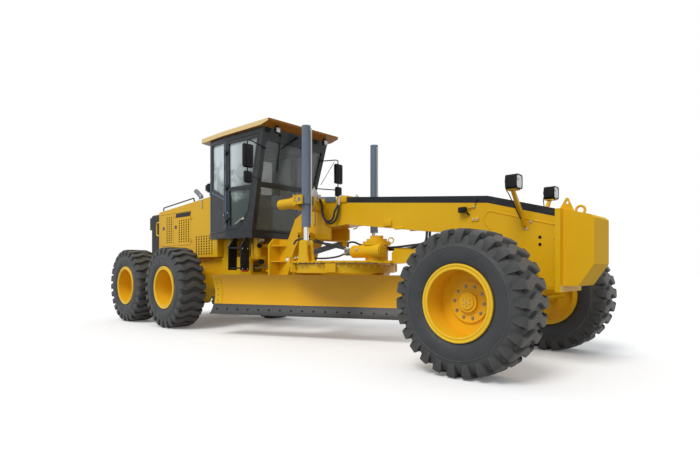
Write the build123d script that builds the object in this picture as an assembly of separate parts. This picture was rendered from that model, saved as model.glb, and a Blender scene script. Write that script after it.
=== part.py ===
"""Motor grader with a six-wheel chassis: an engine and cab on a rear frame, hinged to a long
front frame that carries the lift cylinders, the drawbar, the circle and the blade.

Millimetres. X points forward, Y to the left, Z up. The ground is z = 0, and the origin lies on
it under the middle of the machine.
"""
from build123d import *
from math import sqrt
import os

# ---- Driving sizes -------------------------------------------------------------------------
tyre_radius = 675
tyre_width = 445
bead_radius = 317.5
rim_flange_radius = 355.5
rim_width = 400
front_reach = 3950
rear_reach = 2340
tandem_spacing = 1540
front_track = 2070
rear_track = 2115
nose_overhang = 850
pin_clearance = 0.05
running_gap = 6
seat_gap = 0.3

rear_overhang = tandem_spacing / 2 + tyre_radius
overall_length = nose_overhang + front_reach + rear_reach + rear_overhang
front_axle_x = overall_length / 2 - nose_overhang
pivot_x = front_axle_x - front_reach
tandem_x = pivot_x - rear_reach
SIDES = (("right", -1), ("left", 1))

os.makedirs("parts", exist_ok=True)


# ---- Shapes used throughout ----------------------------------------------------------------
def block(x, y, z):
    """Box from three (low, high) pairs."""
    spans = (x, y, z)
    size = [high - low for low, high in spans]
    centre = [(low + high) / 2 for low, high in spans]
    return Pos(*centre) * Box(*size)


def outline(points, radius=0):
    """Closed face; radius is one fillet for all corners or a list with one for each."""
    return make_face(FilletPolyline(*points, radius=radius, close=True))


def side_plate(points, y, radius=0):
    """Plate with an (x, z) outline, between two y values."""
    face = Plane.XZ.offset(-y[1]) * outline(points, radius)
    return extrude(face, amount=y[1] - y[0], dir=(0, -1, 0))


def cross_plate(points, x, radius=0):
    """Plate with a (y, z) outline, between two x values."""
    face = Plane.YZ.offset(x[0]) * outline(points, radius)
    return extrude(face, amount=x[1] - x[0], dir=(1, 0, 0))


def floor_plate(points, z, radius=0):
    """Plate with an (x, y) outline, between two z values."""
    face = Plane.XY.offset(z[0]) * outline(points, radius)
    return extrude(face, amount=z[1] - z[0], dir=(0, 0, 1))


def bar(start, end, radius):
    """Round bar between two points."""
    axis = Vector(*end) - Vector(*start)
    return Plane(origin=start, z_dir=axis) * Cylinder(
        radius, axis.length, align=(Align.CENTER, Align.CENTER, Align.MIN)
    )


def tube(start, end, radius, bore):
    return bar(start, end, radius) - bar(start, end, bore)


def pipe(points, radius, bend):
    """Round pipe along a route with rounded corners."""
    route = FilletPolyline(*points, radius=bend)
    section = Plane(origin=route @ 0, z_dir=route % 0) * Circle(radius)
    return sweep(section, path=route)


def mirrored(shape):
    return mirror(shape, about=Plane.XZ)


def for_side(shape, sign):
    """A shape drawn for the left side, moved to the side that sign gives."""
    return shape if sign > 0 else mirrored(shape)


def both(shape):
    return shape + mirrored(shape)


def hinge_half(x, y, z, radius, reach, depth):
    """One half of a butt hinge on a left wall: a barrel and a leaf let into the wall by depth."""
    barrel = bar((x, y, z[0]), (x, y, z[1]), radius)
    return barrel + block(sorted((x, x + reach)), (y - depth, y), z)


def save(shape, name):
    export_step(shape, f"parts/{name}.step")


# ---- Wheels --------------------------------------------------------------------------------
# Wheels are drawn about the Y axis, with +Y outward, and moved to their place.
bead_seat = rim_width / 2 - 26
tread_drop = 7

# (radius, offset from the wheel's middle) of one half of the tyre's section
TYRE_SECTION = (
    (bead_radius, bead_seat),
    (rim_flange_radius, bead_seat),
    (rim_flange_radius + 22, tyre_width / 2 - 25),
    (rim_flange_radius + 90, tyre_width / 2),
    (tyre_radius - 80, tyre_width / 2 - 2),
    (tyre_radius - tread_drop, tyre_width / 2 - 24),
    (tyre_radius, tyre_width / 4),
)


def ring_about_y(points):
    return revolve(outline(points), axis=Axis.Y)


def tyre():
    left = list(TYRE_SECTION)
    right = [(radius, -offset) for radius, offset in reversed(TYRE_SECTION)]
    return ring_about_y(left + right)


def rim_barrel():
    """Rolled barrel with a flange at each edge."""
    half = rim_width / 2
    barrel_wall = 16
    inner = bead_radius - barrel_wall
    points = [
        (inner, -half), (rim_flange_radius, -half), (rim_flange_radius, -bead_seat),
        (bead_radius, -bead_seat), (bead_radius, bead_seat), (rim_flange_radius, bead_seat),
        (rim_flange_radius, half), (inner, half),
    ]
    return ring_about_y(points)


def disc_about_y(radius, low, high, bore=0):
    disc = bar((0, low, 0), (0, high, 0), radius)
    return disc - bar((0, low, 0), (0, high, 0), bore) if bore else disc


spindle_radius = 45
stub_radius = 70
case_outer_y = 800
# offsets from the wheel's middle along its axle
disc_thickness = 20
front_disc = -75
rear_disc = -130
front_hub_start = -200
rear_hub_start = case_outer_y + running_gap - rear_track / 2
spindle_end = front_disc - 10
stub_end = rear_disc - 12
disc_radius = bead_radius - 14
front_hub_radius = 100
rear_hub_radius = 160
flange_radius = 190
flange_height = 20
cap_radius = 92
cap_height = 32


def front_rim():
    """Dished rim: the hub's flange and its round cap stand in the middle of the dish."""
    face = front_disc + disc_thickness
    hub = disc_about_y(front_hub_radius, front_hub_start, front_disc)
    disc = disc_about_y(disc_radius, front_disc, face)
    flange = disc_about_y(flange_radius, face, face + flange_height)
    cap = disc_about_y(cap_radius, face + flange_height, face + flange_height + cap_height)
    rim = rim_barrel() + disc + hub + flange + cap
    return rim - disc_about_y(spindle_radius + pin_clearance, front_hub_start, spindle_end + running_gap)


def rear_rim():
    """Deep plain dish: the disc is near the case, and the hub behind it doesn't show."""
    hub = disc_about_y(rear_hub_radius, rear_hub_start, rear_disc)
    disc = disc_about_y(disc_radius, rear_disc, rear_disc + disc_thickness)
    rim = rim_barrel() + disc + hub
    return rim - disc_about_y(stub_radius + pin_clearance, rear_hub_start, stub_end + running_gap)


# name, x of the axle, track, rim
WHEELS = (
    ("front", front_axle_x, front_track, front_rim),
    ("middle", tandem_x + tandem_spacing / 2, rear_track, rear_rim),
    ("rear", tandem_x - tandem_spacing / 2, rear_track, rear_rim),
)


def make_wheels():
    plain_tyre = tyre()
    for place, x, track, rim in WHEELS:
        plain_rim = rim()
        for side, sign in SIDES:
            centre = Pos(x, sign * track / 2, tyre_radius)
            save(centre * for_side(plain_tyre, sign), f"tyre_{place}_{side}")
            save(centre * for_side(plain_rim, sign), f"rim_{place}_{side}")


# ---- Rear frame, tandem and engine ---------------------------------------------------------
frame_top = 1180
frame_bottom = tyre_radius + 125
frame_half_width = 480
frame_plate = 30
frame_front = pivot_x - 200
frame_rear = tandem_x - 1060
pin_radius = 45
ear_plate = 55
# z of the lower face of each ear, and z of the front frame's tongue beside it
EARS = ((850, 912), (1330, 1268))
tongue_plate = 55
cab_floor_bottom = 1470
cab_mount_radius = 60
cab_rear = pivot_x - 1010
cab_hinge = pivot_x - 550
cab_front = pivot_x - 50
# the two articulation cylinders, from their anchors on the rear frame to their rod eyes
cylinder_z = 1020
cylinder_y = frame_half_width - frame_plate - 100
anchor_x = pivot_x - 900
artic_eye = 125
hitch_pin_radius = 20
hitch_x = frame_rear - 90
case_inner_y = 580
case_radius = 275
axle_z = tyre_radius + 45
# z of the fore-and-aft pin that the front axle rocks on
axle_pin_z = tyre_radius + 165
axle_radius = 130


def ear(z):
    """Forked plate that holds the articulation pin."""
    points = [
        (frame_front - 40, -330), (frame_front, -330), (pivot_x + 60, -90),
        (pivot_x + 60, 90), (frame_front, 330), (frame_front - 40, 330),
    ]
    return floor_plate(points, (z, z + ear_plate), radius=[0, 20, 60, 60, 20, 0])


def rear_frame():
    """Two rails and their cross members, the articulation ears, the cab's posts and the hitch."""
    inner = frame_half_width - frame_plate
    rail = side_plate(
        [
            (frame_rear, frame_bottom + 60), (frame_rear, frame_top), (frame_front, frame_top),
            (frame_front, frame_bottom), (tandem_x + 500, frame_bottom - 60),
            (tandem_x - 500, frame_bottom - 60), (tandem_x - 600, frame_bottom + 60),
        ],
        (inner, frame_half_width),
    )
    frame = both(rail)
    # low and high x, low and high z of each cross member
    for x0, x1, z0, z1 in (
        (frame_rear, frame_rear + 40, frame_bottom + 60, frame_top),
        (tandem_x - 560, tandem_x - 500, 900, frame_top),
        (tandem_x + 560, tandem_x + 620, 900, frame_top),
        (frame_front - 40, frame_front, frame_bottom, EARS[1][0] + ear_plate),
    ):
        frame += block((x0, x1), (-inner, inner), (z0, z1))
    window = 90
    frame -= both(block((frame_front - 41, frame_front + 1), (cylinder_y - window, cylinder_y + window),
                        (cylinder_z - window, cylinder_z + window)))
    for z, tongue_z in EARS:
        low = min(z, tongue_z)
        high = max(z, tongue_z) + ear_plate
        frame += ear(z) + bar((pivot_x, 0, low), (pivot_x, 0, high), pin_radius)
    for x in (cab_rear + 120, cab_front - 90):
        post = bar((x, 400, frame_top), (x, 400, cab_floor_bottom), cab_mount_radius)
        frame += both(post + block((x - 90, x + 90), (300, inner), (frame_top - 40, frame_top)))
    gusset = side_plate([(cab_rear + 20, frame_top - 20), (cab_rear + 150, frame_top - 20),
                         (cab_rear + 175, 1260), (cab_rear + 235, 1400),
                         (cab_rear + 240, cab_floor_bottom), (cab_rear + 20, cab_floor_bottom)],
                        (inner, frame_half_width), radius=[0, 0, 60, 30, 0, 0])
    frame += both(gusset)
    anchor = block((anchor_x - 60, anchor_x + 60), (cylinder_y - 70, inner),
                   (cylinder_z - 90, cylinder_z - 62))
    frame += both(anchor)
    frame -= both(bar((tandem_x, inner - 1, axle_z), (tandem_x, frame_half_width + 1, axle_z),
                      axle_radius + seat_gap))
    hitch = block((frame_rear - 150, frame_rear), (-90, 90), (870, 1010))
    hitch -= block((frame_rear - 151, frame_rear - 30), (-91, 91), (915, 965))
    hitch -= bar((hitch_x, 0, 869), (hitch_x, 0, 1011), hitch_pin_radius)
    return frame + hitch


def tandem_drive():
    """Final drive across the frame, and the two chain cases beside the wheels."""
    front = tandem_x + tandem_spacing / 2
    rear = tandem_x - tandem_spacing / 2
    case = side_plate(
        [
            (rear - case_radius, tyre_radius - case_radius), (front + 330, tyre_radius - case_radius),
            (front + 480, tyre_radius), (front + 420, tyre_radius + 290),
            (rear - case_radius, tyre_radius + case_radius),
        ],
        (case_inner_y, case_outer_y), radius=[200, 120, 120, 60, 200],
    )
    for x in (front, rear):
        case += bar((x, case_outer_y, tyre_radius), (x, rear_track / 2 + stub_end, tyre_radius), stub_radius)
    axle = bar((tandem_x, 0, axle_z), (tandem_x, case_inner_y, axle_z), axle_radius)
    drive = both(case + axle)
    drive += Pos(tandem_x, 0, axle_z) * Sphere(230)
    drive += block((tandem_x - 120, tandem_x + 120), (-frame_half_width + 31, frame_half_width - 31),
                   (tyre_radius + 120, tyre_radius + 200))
    return drive


def engine_block():
    """Plain block in the engine's place: the closed hood hides it."""
    return block((hood_rear + 500, hood_front - 350), (-300, 300), (frame_top, 1800))


hood_rear = pivot_x - 3150
hood_front = cab_rear - 8
hood_half_width = 580
hood_rear_top = 2100
hood_front_top = 2240
hood_bottom = frame_top + 10
hood_wall = 40
crown_half_width = 400
crown_height = 85
vent_length = 38
vent_height = 26
vent_pitch_x = 86
vent_pitch_z = 43
# rear and front edge, lower and upper edge of each side door
hood_door_rear = hood_rear + 70
hood_door_front = pivot_x - 1900
hood_door_low = 1420
hood_door_high = 2040
hood_hinge_radius = 10
hood_hinge_x = hood_door_front - running_gap / 2
hood_hinge_y = hood_half_width + hood_hinge_radius + 2
HOOD_HINGES = (1480, 1880)


def hood_prism(inset):
    """Hood's body with its crowned top, drawn in by inset on every side but its open bottom."""
    half = hood_half_width - inset
    faces = []
    for x, top in ((hood_rear + inset, hood_rear_top), (hood_front - inset, hood_front_top)):
        side_top = top - inset
        left = [(half, hood_bottom - inset), (half, side_top), (crown_half_width, side_top + crown_height)]
        right = [(-y, z) for y, z in reversed(left)]
        faces.append(Plane.YZ.offset(x) * outline(left + right))
    return loft(faces, ruled=True)


def vent_field(x, z, columns, rows):
    """Square vents in a grid through the left wall; x and z are the middle of the first one."""
    vents = []
    for column in range(columns):
        for row in range(rows):
            place = Pos(x + column * vent_pitch_x, hood_half_width - hood_wall / 2, z + row * vent_pitch_z)
            vents.append(place * Box(vent_length, hood_wall + 2, vent_height))
    return Compound(children=vents)


def hood_door_cut(gap):
    """Prism through the hood's left wall, smaller than the doorway by gap all round."""
    return block(
        (hood_door_rear + gap, hood_door_front - gap), (hood_half_width - hood_wall, hood_half_width),
        (hood_door_low + gap, hood_door_high - gap))


def engine_hood():
    """Sheet-metal hood, open at its bottom, with a doorway and a field of vents each side."""
    hood = hood_prism(0) - hood_prism(hood_wall)
    hood -= both(hood_door_cut(0))
    for z in HOOD_HINGES:
        hood += both(hinge_half(hood_hinge_x, hood_hinge_y, (z, z + 30), hood_hinge_radius, 40, 12))
    hood -= both(vent_field(hood_front - 690, hood_bottom + 60, 7, 8))
    skirt = both(block((hood_rear + 60, hood_front - 100),
                       (frame_half_width - frame_plate, hood_half_width - hood_wall),
                       (frame_top, hood_bottom + 8)))
    return hood + skirt


def hood_door():
    """Left hood door: two panels side by side, each with its field of vents."""
    door = hood_door_cut(running_gap)
    door -= vent_field(hood_door_rear + 262, hood_door_low + 75, 3, 12)
    door -= vent_field(hood_door_rear + 747, hood_door_low + 75, 5, 10)
    seam = hood_door_rear + 528
    door -= block((seam - 4, seam + 4), (hood_half_width - 4, hood_half_width + 1),
                  (hood_door_low, hood_door_high))
    for z in HOOD_HINGES:
        upper = (z + 30 + seat_gap, z + 60)
        door += hinge_half(hood_hinge_x, hood_hinge_y, upper, hood_hinge_radius, -40, 24)
    return door


def radiator_guard():
    """Louvred box over the radiator, with a housing across its back."""
    rear = hood_rear - 450
    shell = block((rear, hood_rear), (-520, 520), (1240, hood_rear_top - 10))
    shell -= block((rear - 1, rear + 60), (-440, 440), (1320, 1760))
    guard = fillet(shell.edges().filter_by(Axis.X).group_by(Axis.Z)[-1], 50)
    for index in range(7):
        z = 1335 + index * 62
        guard += block((rear + 10, rear + 60), (-440, 440), (z, z + 22))
    housing = block((rear - 130, rear), (-500, 500), (1785, 2040))
    guard += fillet(housing.edges().filter_by(Axis.Y).group_by(Axis.X)[0], 30)
    guard += block((rear, hood_rear), (-400, 400), (frame_top, 1240))
    return guard


def hood_top(x):
    """Height of the hood's sloping top at x."""
    return hood_rear_top + (hood_front_top - hood_rear_top) * (x - hood_rear) / (hood_front - hood_rear)


def exhaust_pipe():
    """Bent tailpipe with a collar where it leaves the hood."""
    x = pivot_x - 2240
    base = hood_top(x) + crown_height
    route = [(x, -180, base - 40), (x, -180, base + 130), (x - 190, -180, base + 255)]
    pipework = pipe(route, 45, 70) + bar((x, -180, base - 40), (x, -180, base + 30), 65)
    return pipework - hood_prism(0)


def air_precleaner():
    """Round dust bowl on the air intake's stem."""
    x = hood_front - 575
    y = -330
    top = hood_top(x) + crown_height
    stem = bar((x, y, top - 40), (x, y, top + 80), 50) - hood_prism(0)
    # radius, lower and upper height above the hood
    for radius, low, high in ((90, 80, 105), (122, 105, 195), (95, 195, 225), (45, 225, 250)):
        stem += bar((x, y, top + low), (x, y, top + high), radius)
    return stem


def hood_rails():
    """Low rails along the hood's top edges, and a handrail at each rear corner."""
    parts = []
    for y in (-520, 520):
        x0 = hood_rear + 60
        x1 = pivot_x - 1880
        low = hood_top(x0)
        high = hood_top(x1)
        route = [(x0, y, low - 15), (x0 + 20, y, low + 90), (x1 - 20, y, high + 90), (x1, y, high - 15)]
        parts.append(pipe(route, 12, 30) - hood_prism(0))
    for y in (-555, 555):
        x = hood_rear - 150
        route = [(hood_rear, y, 1650), (x, y, 1650), (x, y, 1910), (hood_rear, y, 1910)]
        parts.append(pipe(route, 15, 45))
    return Compound(children=parts)


# ---- Cab -----------------------------------------------------------------------------------
cab_bottom = 1560
cab_top = 3100
cab_wall = 60
glass = 8
# x and half-width of the cab's corners, at its bottom and at its top
CAB_BOTTOM = ((cab_rear, 720), (cab_hinge, 720), (cab_front, 570))
CAB_TOP = ((cab_rear, 720), (cab_hinge, 720), (pivot_x + 370, 660))
cab_hinge_radius = 13
cab_hinge_x = cab_hinge + 30 + running_gap / 2
cab_hinge_y = CAB_BOTTOM[1][1] + cab_hinge_radius + 2
CAB_HINGES = (1720, 2240, 2800)


def cab_section(corners, z, inset):
    (rear, w0), (hinge, w1), (front, w2) = corners
    left = [(rear + inset, w0 - inset), (hinge, w1 - inset), (front - inset, w2 - inset)]
    right = [(x, -y) for x, y in reversed(left)]
    return Plane.XY.offset(z) * outline(left + right)


def cab_body(inset):
    """Six-sided body whose front leans forward, drawn in by inset."""
    low = cab_section(CAB_BOTTOM, cab_bottom, inset)
    high = cab_section(CAB_TOP, cab_top, inset)
    return loft([low, high], ruled=True)


def front_line(z):
    """x of the cab's front corner at a height."""
    share = (z - cab_bottom) / (cab_top - cab_bottom)
    return CAB_BOTTOM[2][0] + share * (CAB_TOP[2][0] - CAB_BOTTOM[2][0])


door_flare = 0.75
door_flare_y = 660


def door_prism(gap):
    """Doorway in the left wall: hinged at its rear post, with a chamfered lower front corner.

    Its front edge leans forward as it goes outward, so that the thick door swings out of it.
    """
    low = cab_bottom + 50 + gap
    high = cab_top - 80 - gap
    chamfer = 260
    points = [
        (cab_hinge + 30 + gap, low), (front_line(low) - 240 - gap, low),
        (front_line(low + chamfer) - 75 - gap, low + chamfer),
        (front_line(high) - 75 - gap, high), (cab_hinge + 30 + gap, high),
    ]
    faces = []
    for y in (450, 800):
        lean = door_flare * (y - door_flare_y)
        moved = [(x + lean, z) for x, z in points[1:4]]
        plane = Plane(origin=(0, y, 0), x_dir=(1, 0, 0), z_dir=(0, -1, 0))
        faces.append(plane * outline([points[0]] + moved + [points[4]]))
    return loft(faces, ruled=True)


def pane_front(z):
    """x of the door panes' front edge at a height; its frame is wider near the floor."""
    return front_line(z) - 150 + 36 * (z - cab_bottom) / (cab_top - cab_bottom)


def door_window(upper, grow):
    """One of the door's two panes; grow widens it all round."""
    bar_z = 2250
    rear = cab_hinge + 30 + 55 - grow
    if upper:
        low, high = bar_z + 30 - grow, cab_top - 130 + grow
        points = [(rear, low), (pane_front(low) + grow, low),
                  (pane_front(high) + grow, high), (rear, high)]
    else:
        low, high = cab_bottom + 105 - grow, bar_z - 30 + grow
        points = [(rear, low), (front_line(low) - 300 + grow, low),
                  (pane_front(low + 230) + grow, low + 230),
                  (pane_front(high) + grow, high), (rear, high)]
    return side_plate(points, (400, 900))


def quarter_window(grow):
    """Rear side window with a slanted lower edge."""
    front = cab_hinge - 35 + grow
    rear = cab_rear + 70 - grow
    points = [(rear, 2310 - grow), (front, 2130 - grow), (front, cab_top - 90 + grow),
              (rear, cab_top - 90 + grow)]
    return side_plate(points, (600, 900))


def front_window(upper, grow):
    """Pane in the front wall, narrower towards the floor."""
    def half(z):
        share = (z - cab_bottom) / (cab_top - cab_bottom)
        return CAB_BOTTOM[2][1] + share * (CAB_TOP[2][1] - CAB_BOTTOM[2][1]) - 75 + grow
    low, high = (2320 - grow, cab_top - 180 + grow) if upper else (cab_bottom + 40 - grow, 2250 + grow)
    points = [(-half(low), low), (half(low), low), (half(high), high), (-half(high), high)]
    return cross_plate(points, (cab_front - 120, pivot_x + 700))


def rear_window(grow):
    """Pane in the rear wall above the hood."""
    points = [(-560 - grow, 2330 - grow), (560 + grow, 2330 - grow),
              (560 + grow, cab_top - 150 + grow), (-560 - grow, cab_top - 150 + grow)]
    return cross_plate(points, (cab_rear - 50, cab_rear + 100))


def cab_shell():
    """Posts, rails, floor and rear wall of the hollow cab."""
    shell = cab_body(0) - cab_body(cab_wall)
    for cut in (front_window(True, 0), front_window(False, 0), rear_window(0)):
        shell -= cut
    for cut in (door_prism(0), quarter_window(0)):
        shell -= both(cut)
    for z in CAB_HINGES:
        shell += both(hinge_half(cab_hinge_x, cab_hinge_y, (z, z + 40), cab_hinge_radius, -60, 15))
    (rear, w0), (hinge, w1), (front, w2) = CAB_BOTTOM
    left = [(rear, w0), (hinge, w1), (front + 10, w2 + 5)]
    right = [(x, -y) for x, y in reversed(left)]
    return shell + floor_plate(left + right, (cab_floor_bottom, cab_bottom))


def cab_glass():
    """Sheet of glass in the middle of the cab's walls, from which every pane is cut."""
    inner = (cab_wall - glass) / 2
    return cab_body(inner) - cab_body(inner + glass)


def cab_windows(pane):
    """Fixed panes: two in front, one behind and the two rear side windows."""
    panes = [pane & front_window(True, 0), pane & front_window(False, 0), pane & rear_window(0)]
    quarter = pane & quarter_window(0)
    panes += [quarter, mirrored(quarter)]
    return Compound(children=panes)


def cab_door():
    """Left door, cut from the same walls as the cab, with two window openings."""
    door = (cab_body(0) - cab_body(cab_wall)) & door_prism(running_gap)
    for upper in (True, False):
        door -= door_window(upper, 0)
    for z in CAB_HINGES:
        door += hinge_half(cab_hinge_x, cab_hinge_y, (z + 40 + seat_gap, z + 80), cab_hinge_radius, 45, 40)
    return door


def cab_door_glass(pane):
    return Compound(children=[pane & door_window(upper, 0) for upper in (True, False)])


def cab_roof():
    """Six-cornered roof plate that overhangs the front."""
    front = pivot_x + 570
    left = [(cab_rear - 260, 600), (cab_rear - 215, 760), (cab_hinge, 770), (front, 720)]
    right = [(x, -y) for x, y in reversed(left)]
    roof = floor_plate(left + right, (cab_top, cab_top + 70), radius=25)
    under = side_plate([(front - 190, cab_top - 1), (front + 1, cab_top - 1), (front + 1, cab_top + 38)],
                       (-900, 900))
    return roof - under


def operator_seat():
    """Seat on its pedestal."""
    x = cab_hinge - 140
    base = block((x - 160, x + 160), (-150, 150), (cab_bottom, 1880))
    cushion = block((x - 240, x + 260), (-250, 250), (1880, 2000))
    back = side_plate([(x - 235, 2000), (x - 125, 2000), (x - 150, 2620), (x - 235, 2620)], (-235, 235))
    return base + cushion + back


def control_console():
    """Steering column with its wheel, and a lever console each side."""
    x = cab_front - 230
    foot = block((x - 85, x + 75), (-80, 80), (cab_bottom, cab_bottom + 40))
    column = foot + bar((x, 0, cab_bottom + 30), (x - 60, 0, 2120), 55)
    wheel = Pos(x - 75, 0, 2150) * Rot(0, -12, 0) * Torus(190, 14)
    spoke = Pos(x - 75, 0, 2150) * Rot(0, -12, 0) * Box(380, 30, 16)
    dash = Pos(x + 10, 0, 2060) * Rot(0, -25, 0) * Box(120, 340, 160)
    pods = both(block((x - 190, x - 60), (265, 345), (cab_bottom, 2080)))
    return column + wheel + spoke + dash + pods


def mirrors():
    """Two mirrors on a bent tube bracket at each front post."""
    tube_radius = 9
    post_y = 590
    mirror_y = 930
    mirror_x = front_line(2800) + 60
    solids = []
    top_start = front_line(2790 + tube_radius) + 0.3
    low_start = front_line(2340 + tube_radius) + 0.3
    route = [(top_start, post_y, 2790), (top_start + 40, post_y, 2790), (mirror_x, mirror_y - 60, 2850),
             (mirror_x, mirror_y, 2850), (mirror_x, mirror_y, 2300)]
    bracket = pipe(route, tube_radius, 18)
    arm = pipe([(low_start, post_y, 2340), (low_start + 40, post_y, 2340), (mirror_x, mirror_y, 2340)],
               tube_radius, 18)
    solid = bracket + arm
    # half-width, lower and upper edge of each mirror
    for half, low, high in ((80, 2450, 2780), (60, 2230, 2390)):
        head = block((mirror_x - 20, mirror_x + 20), (mirror_y - half, mirror_y + half), (low, high))
        solid += fillet(head.edges(), 15)
    for side, sign in SIDES:
        solids.append(for_side(solid, sign))
    return Compound(children=solids)


def ladders():
    """Step each side: two hanging plates with chamfered tops and two rungs."""
    rear = pivot_x - 405
    front = pivot_x - 75
    inner = 610
    outer = 760
    # the two treads, between the side plates
    ladder = block((rear, front), (inner + 15, outer - 10), (985, 1010))
    ladder += block((rear, front), (inner + 15, outer - 10), (1300, 1325))
    for x in (rear, front):
        ladder += cross_plate([(inner, 965), (outer, 965), (outer, 1330), (outer - 85, cab_floor_bottom),
                               (inner, cab_floor_bottom)], (x - 12, x + 12))
    return both(ladder)


# ---- Front frame ---------------------------------------------------------------------------
beam_half_width = 175
flange_x = pivot_x + 200
circle_x = pivot_x + 1400
ball_x = front_axle_x - 450
ball_z = 1055
ball_radius = 65
lift_eye_radius = 15
lug_y = -190


def front_frame():
    """Gooseneck and box beam from the articulation to the front axle, with its rear flange."""
    points = [
        (flange_x + 40, 1430), (pivot_x + 450, 1430), (pivot_x + 620, 1730), (pivot_x + 820, 1860),
        (pivot_x + 1050, 1940), (pivot_x + 1600, 1975), (front_axle_x - 240, 1775),
        (front_axle_x + 520, 1565), (front_axle_x + 520, 780),
        (front_axle_x + 400, 780), (front_axle_x + 250, 1020), (front_axle_x - 200, 1020),
        (front_axle_x - 760, 1400), (front_axle_x - 1410, 1480), (pivot_x + 1600, 1600),
        (pivot_x + 1050, 1560), (pivot_x + 800, 1500), (pivot_x + 600, 1250), (pivot_x + 480, 850),
        (flange_x + 40, 780),
    ]
    frame = side_plate(points, (-beam_half_width, beam_half_width))
    cheek = side_plate(
        [(flange_x + 40, 1430), (pivot_x + 450, 1430), (pivot_x + 620, 1730), (pivot_x + 760, 1800),
         (pivot_x + 760, 1500), (pivot_x + 580, 1250), (pivot_x + 430, 850), (flange_x + 40, 780)],
        (beam_half_width, 260))
    frame += both(cheek)
    flange = cross_plate([(-450, 830), (-360, 750), (360, 750), (450, 830), (450, 1350), (360, 1450),
                          (-360, 1450), (-450, 1350)], (flange_x, flange_x + 40))
    frame += flange
    for z in (840, 1090, 1330):
        rib = floor_plate([(flange_x + 40, 420), (flange_x + 230, 260), (flange_x + 230, 170),
                           (flange_x + 40, 170)], (z, z + 22))
        frame += both(rib)
    for ear_z, z in EARS:
        tongue = floor_plate(
            [(flange_x, -260), (flange_x, 260), (pivot_x - 60, 80), (pivot_x - 60, -80)],
            (z, z + tongue_plate), radius=[0, 0, 55, 55])
        frame += tongue - bar((pivot_x, 0, z - 1), (pivot_x, 0, z + tongue_plate + 1),
                              pin_radius + pin_clearance)
    socket = block((ball_x - 10, ball_x + 110), (-110, 110), (ball_z + 5, 1300))
    frame += socket - Pos(ball_x, 0, ball_z) * Sphere(ball_radius + 0.4)
    lug_points = [(-90, 1020), (90, 1020), (55, axle_pin_z - 40), (-55, axle_pin_z - 40)]
    for x in (front_axle_x - 130, front_axle_x + 100):
        frame += cross_plate(lug_points, (x, x + 30)) - bar((x - 1, 0, axle_pin_z),
                                                            (x + 31, 0, axle_pin_z), 35)
    lug = block((pivot_x + artic_eye - 50, flange_x), (cylinder_y - 45, cylinder_y + 45),
                (cylinder_z - 75, cylinder_z - 50.5))
    frame += both(lug)
    nose = front_axle_x + 520
    return frame + block((nose, nose + 50), (-300, 300), (760, 1560))


def counterweight():
    """Heavy nose block with a chamfered underside, a lifting lug and a ring eye on its top."""
    x = front_axle_x
    points = [(x + 570, 820), (x + 710, 820), (x + 850, 1030), (x + 850, 1460), (x + 820, 1490),
              (x + 570, 1560)]
    nose = side_plate(points, (-230, 230))
    lug = side_plate([(x + 571, 1540), (x + 668, 1515), (x + 606, 1665), (x + 588, 1665),
                      (x + 528, 1561), (x + 571, 1561)], (lug_y - 12, lug_y + 12))
    lug -= bar((x + 597, lug_y - 13, 1620), (x + 597, lug_y + 13, 1620), lift_eye_radius)
    eye = Pos(x + 718, lug_y, 1538) * Rot(90, 0, 0) * Torus(40, 12)
    return nose + lug + eye


def headlamps():
    """Lamp each side on a square post that slants out from the beam's side."""
    x = front_axle_x + 180
    solids = []
    for side, sign in SIDES:
        post = cross_plate([(beam_half_width, 1410), (beam_half_width + 40, 1410), (490, 1750),
                            (450, 1750), (beam_half_width, 1460)], (x - 16, x + 16))
        foot = block((x - 45, x + 45), (beam_half_width, beam_half_width + 8), (1385, 1480))
        tray = block((x - 45, x + 55), (425, 525), (1750, 1758))
        lamp = block((x - 45, x + 55), (410, 550), (1758, 1900))
        lamp = fillet(lamp.edges().filter_by(Axis.X), 30)
        solids.append(for_side(post + foot + tray + lamp, sign))
    return Compound(children=solids)


# ---- Front axle: leaning wheels, steering --------------------------------------------------
lean_pin_y = 600
lean_pin_z = tyre_radius - 155
lean_pin_radius = 25
kingpin_y = 745
kingpin_radius = 28
kingpin_low = tyre_radius - 153
kingpin_high = tyre_radius + 155
lean_bar_z = tyre_radius + 255
arm_length = 180
knuckle_radius = 50
tie_rod_z = tyre_radius
yoke_half = 48


def front_axle():
    """Beam on a fore-and-aft pin, with a fork at each end for the leaning yokes."""
    x, z = front_axle_x, tyre_radius
    half = [(0, z - 65), (380, z - 115), (520, z - 205), (640, z - 220), (650, z - 85),
            (540, z - 75), (440, z + 45), (110, z + 105), (0, z + 105)]
    beam = both(cross_plate(half, (x - 95, x + 40)))
    hub = bar((x - 95, 0, axle_pin_z), (x + 40, 0, axle_pin_z), 92)
    beam += hub + bar((x - 150, 0, axle_pin_z), (x + 140, 0, axle_pin_z), 35 - pin_clearance)
    slot = block((x - yoke_half - running_gap, x + yoke_half + running_gap), (515, 700),
                 (z - 275, z + 25))
    fork = both(cross_plate([(540, z - 215), (650, z - 215), (650, z - 85), (540, z - 85)],
                            (x - 90, x + 90)))
    axle = beam + fork - both(slot)
    pin = bar((x - 90, lean_pin_y, lean_pin_z), (x + 90, lean_pin_y, lean_pin_z), lean_pin_radius)
    return axle + both(pin)


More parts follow.
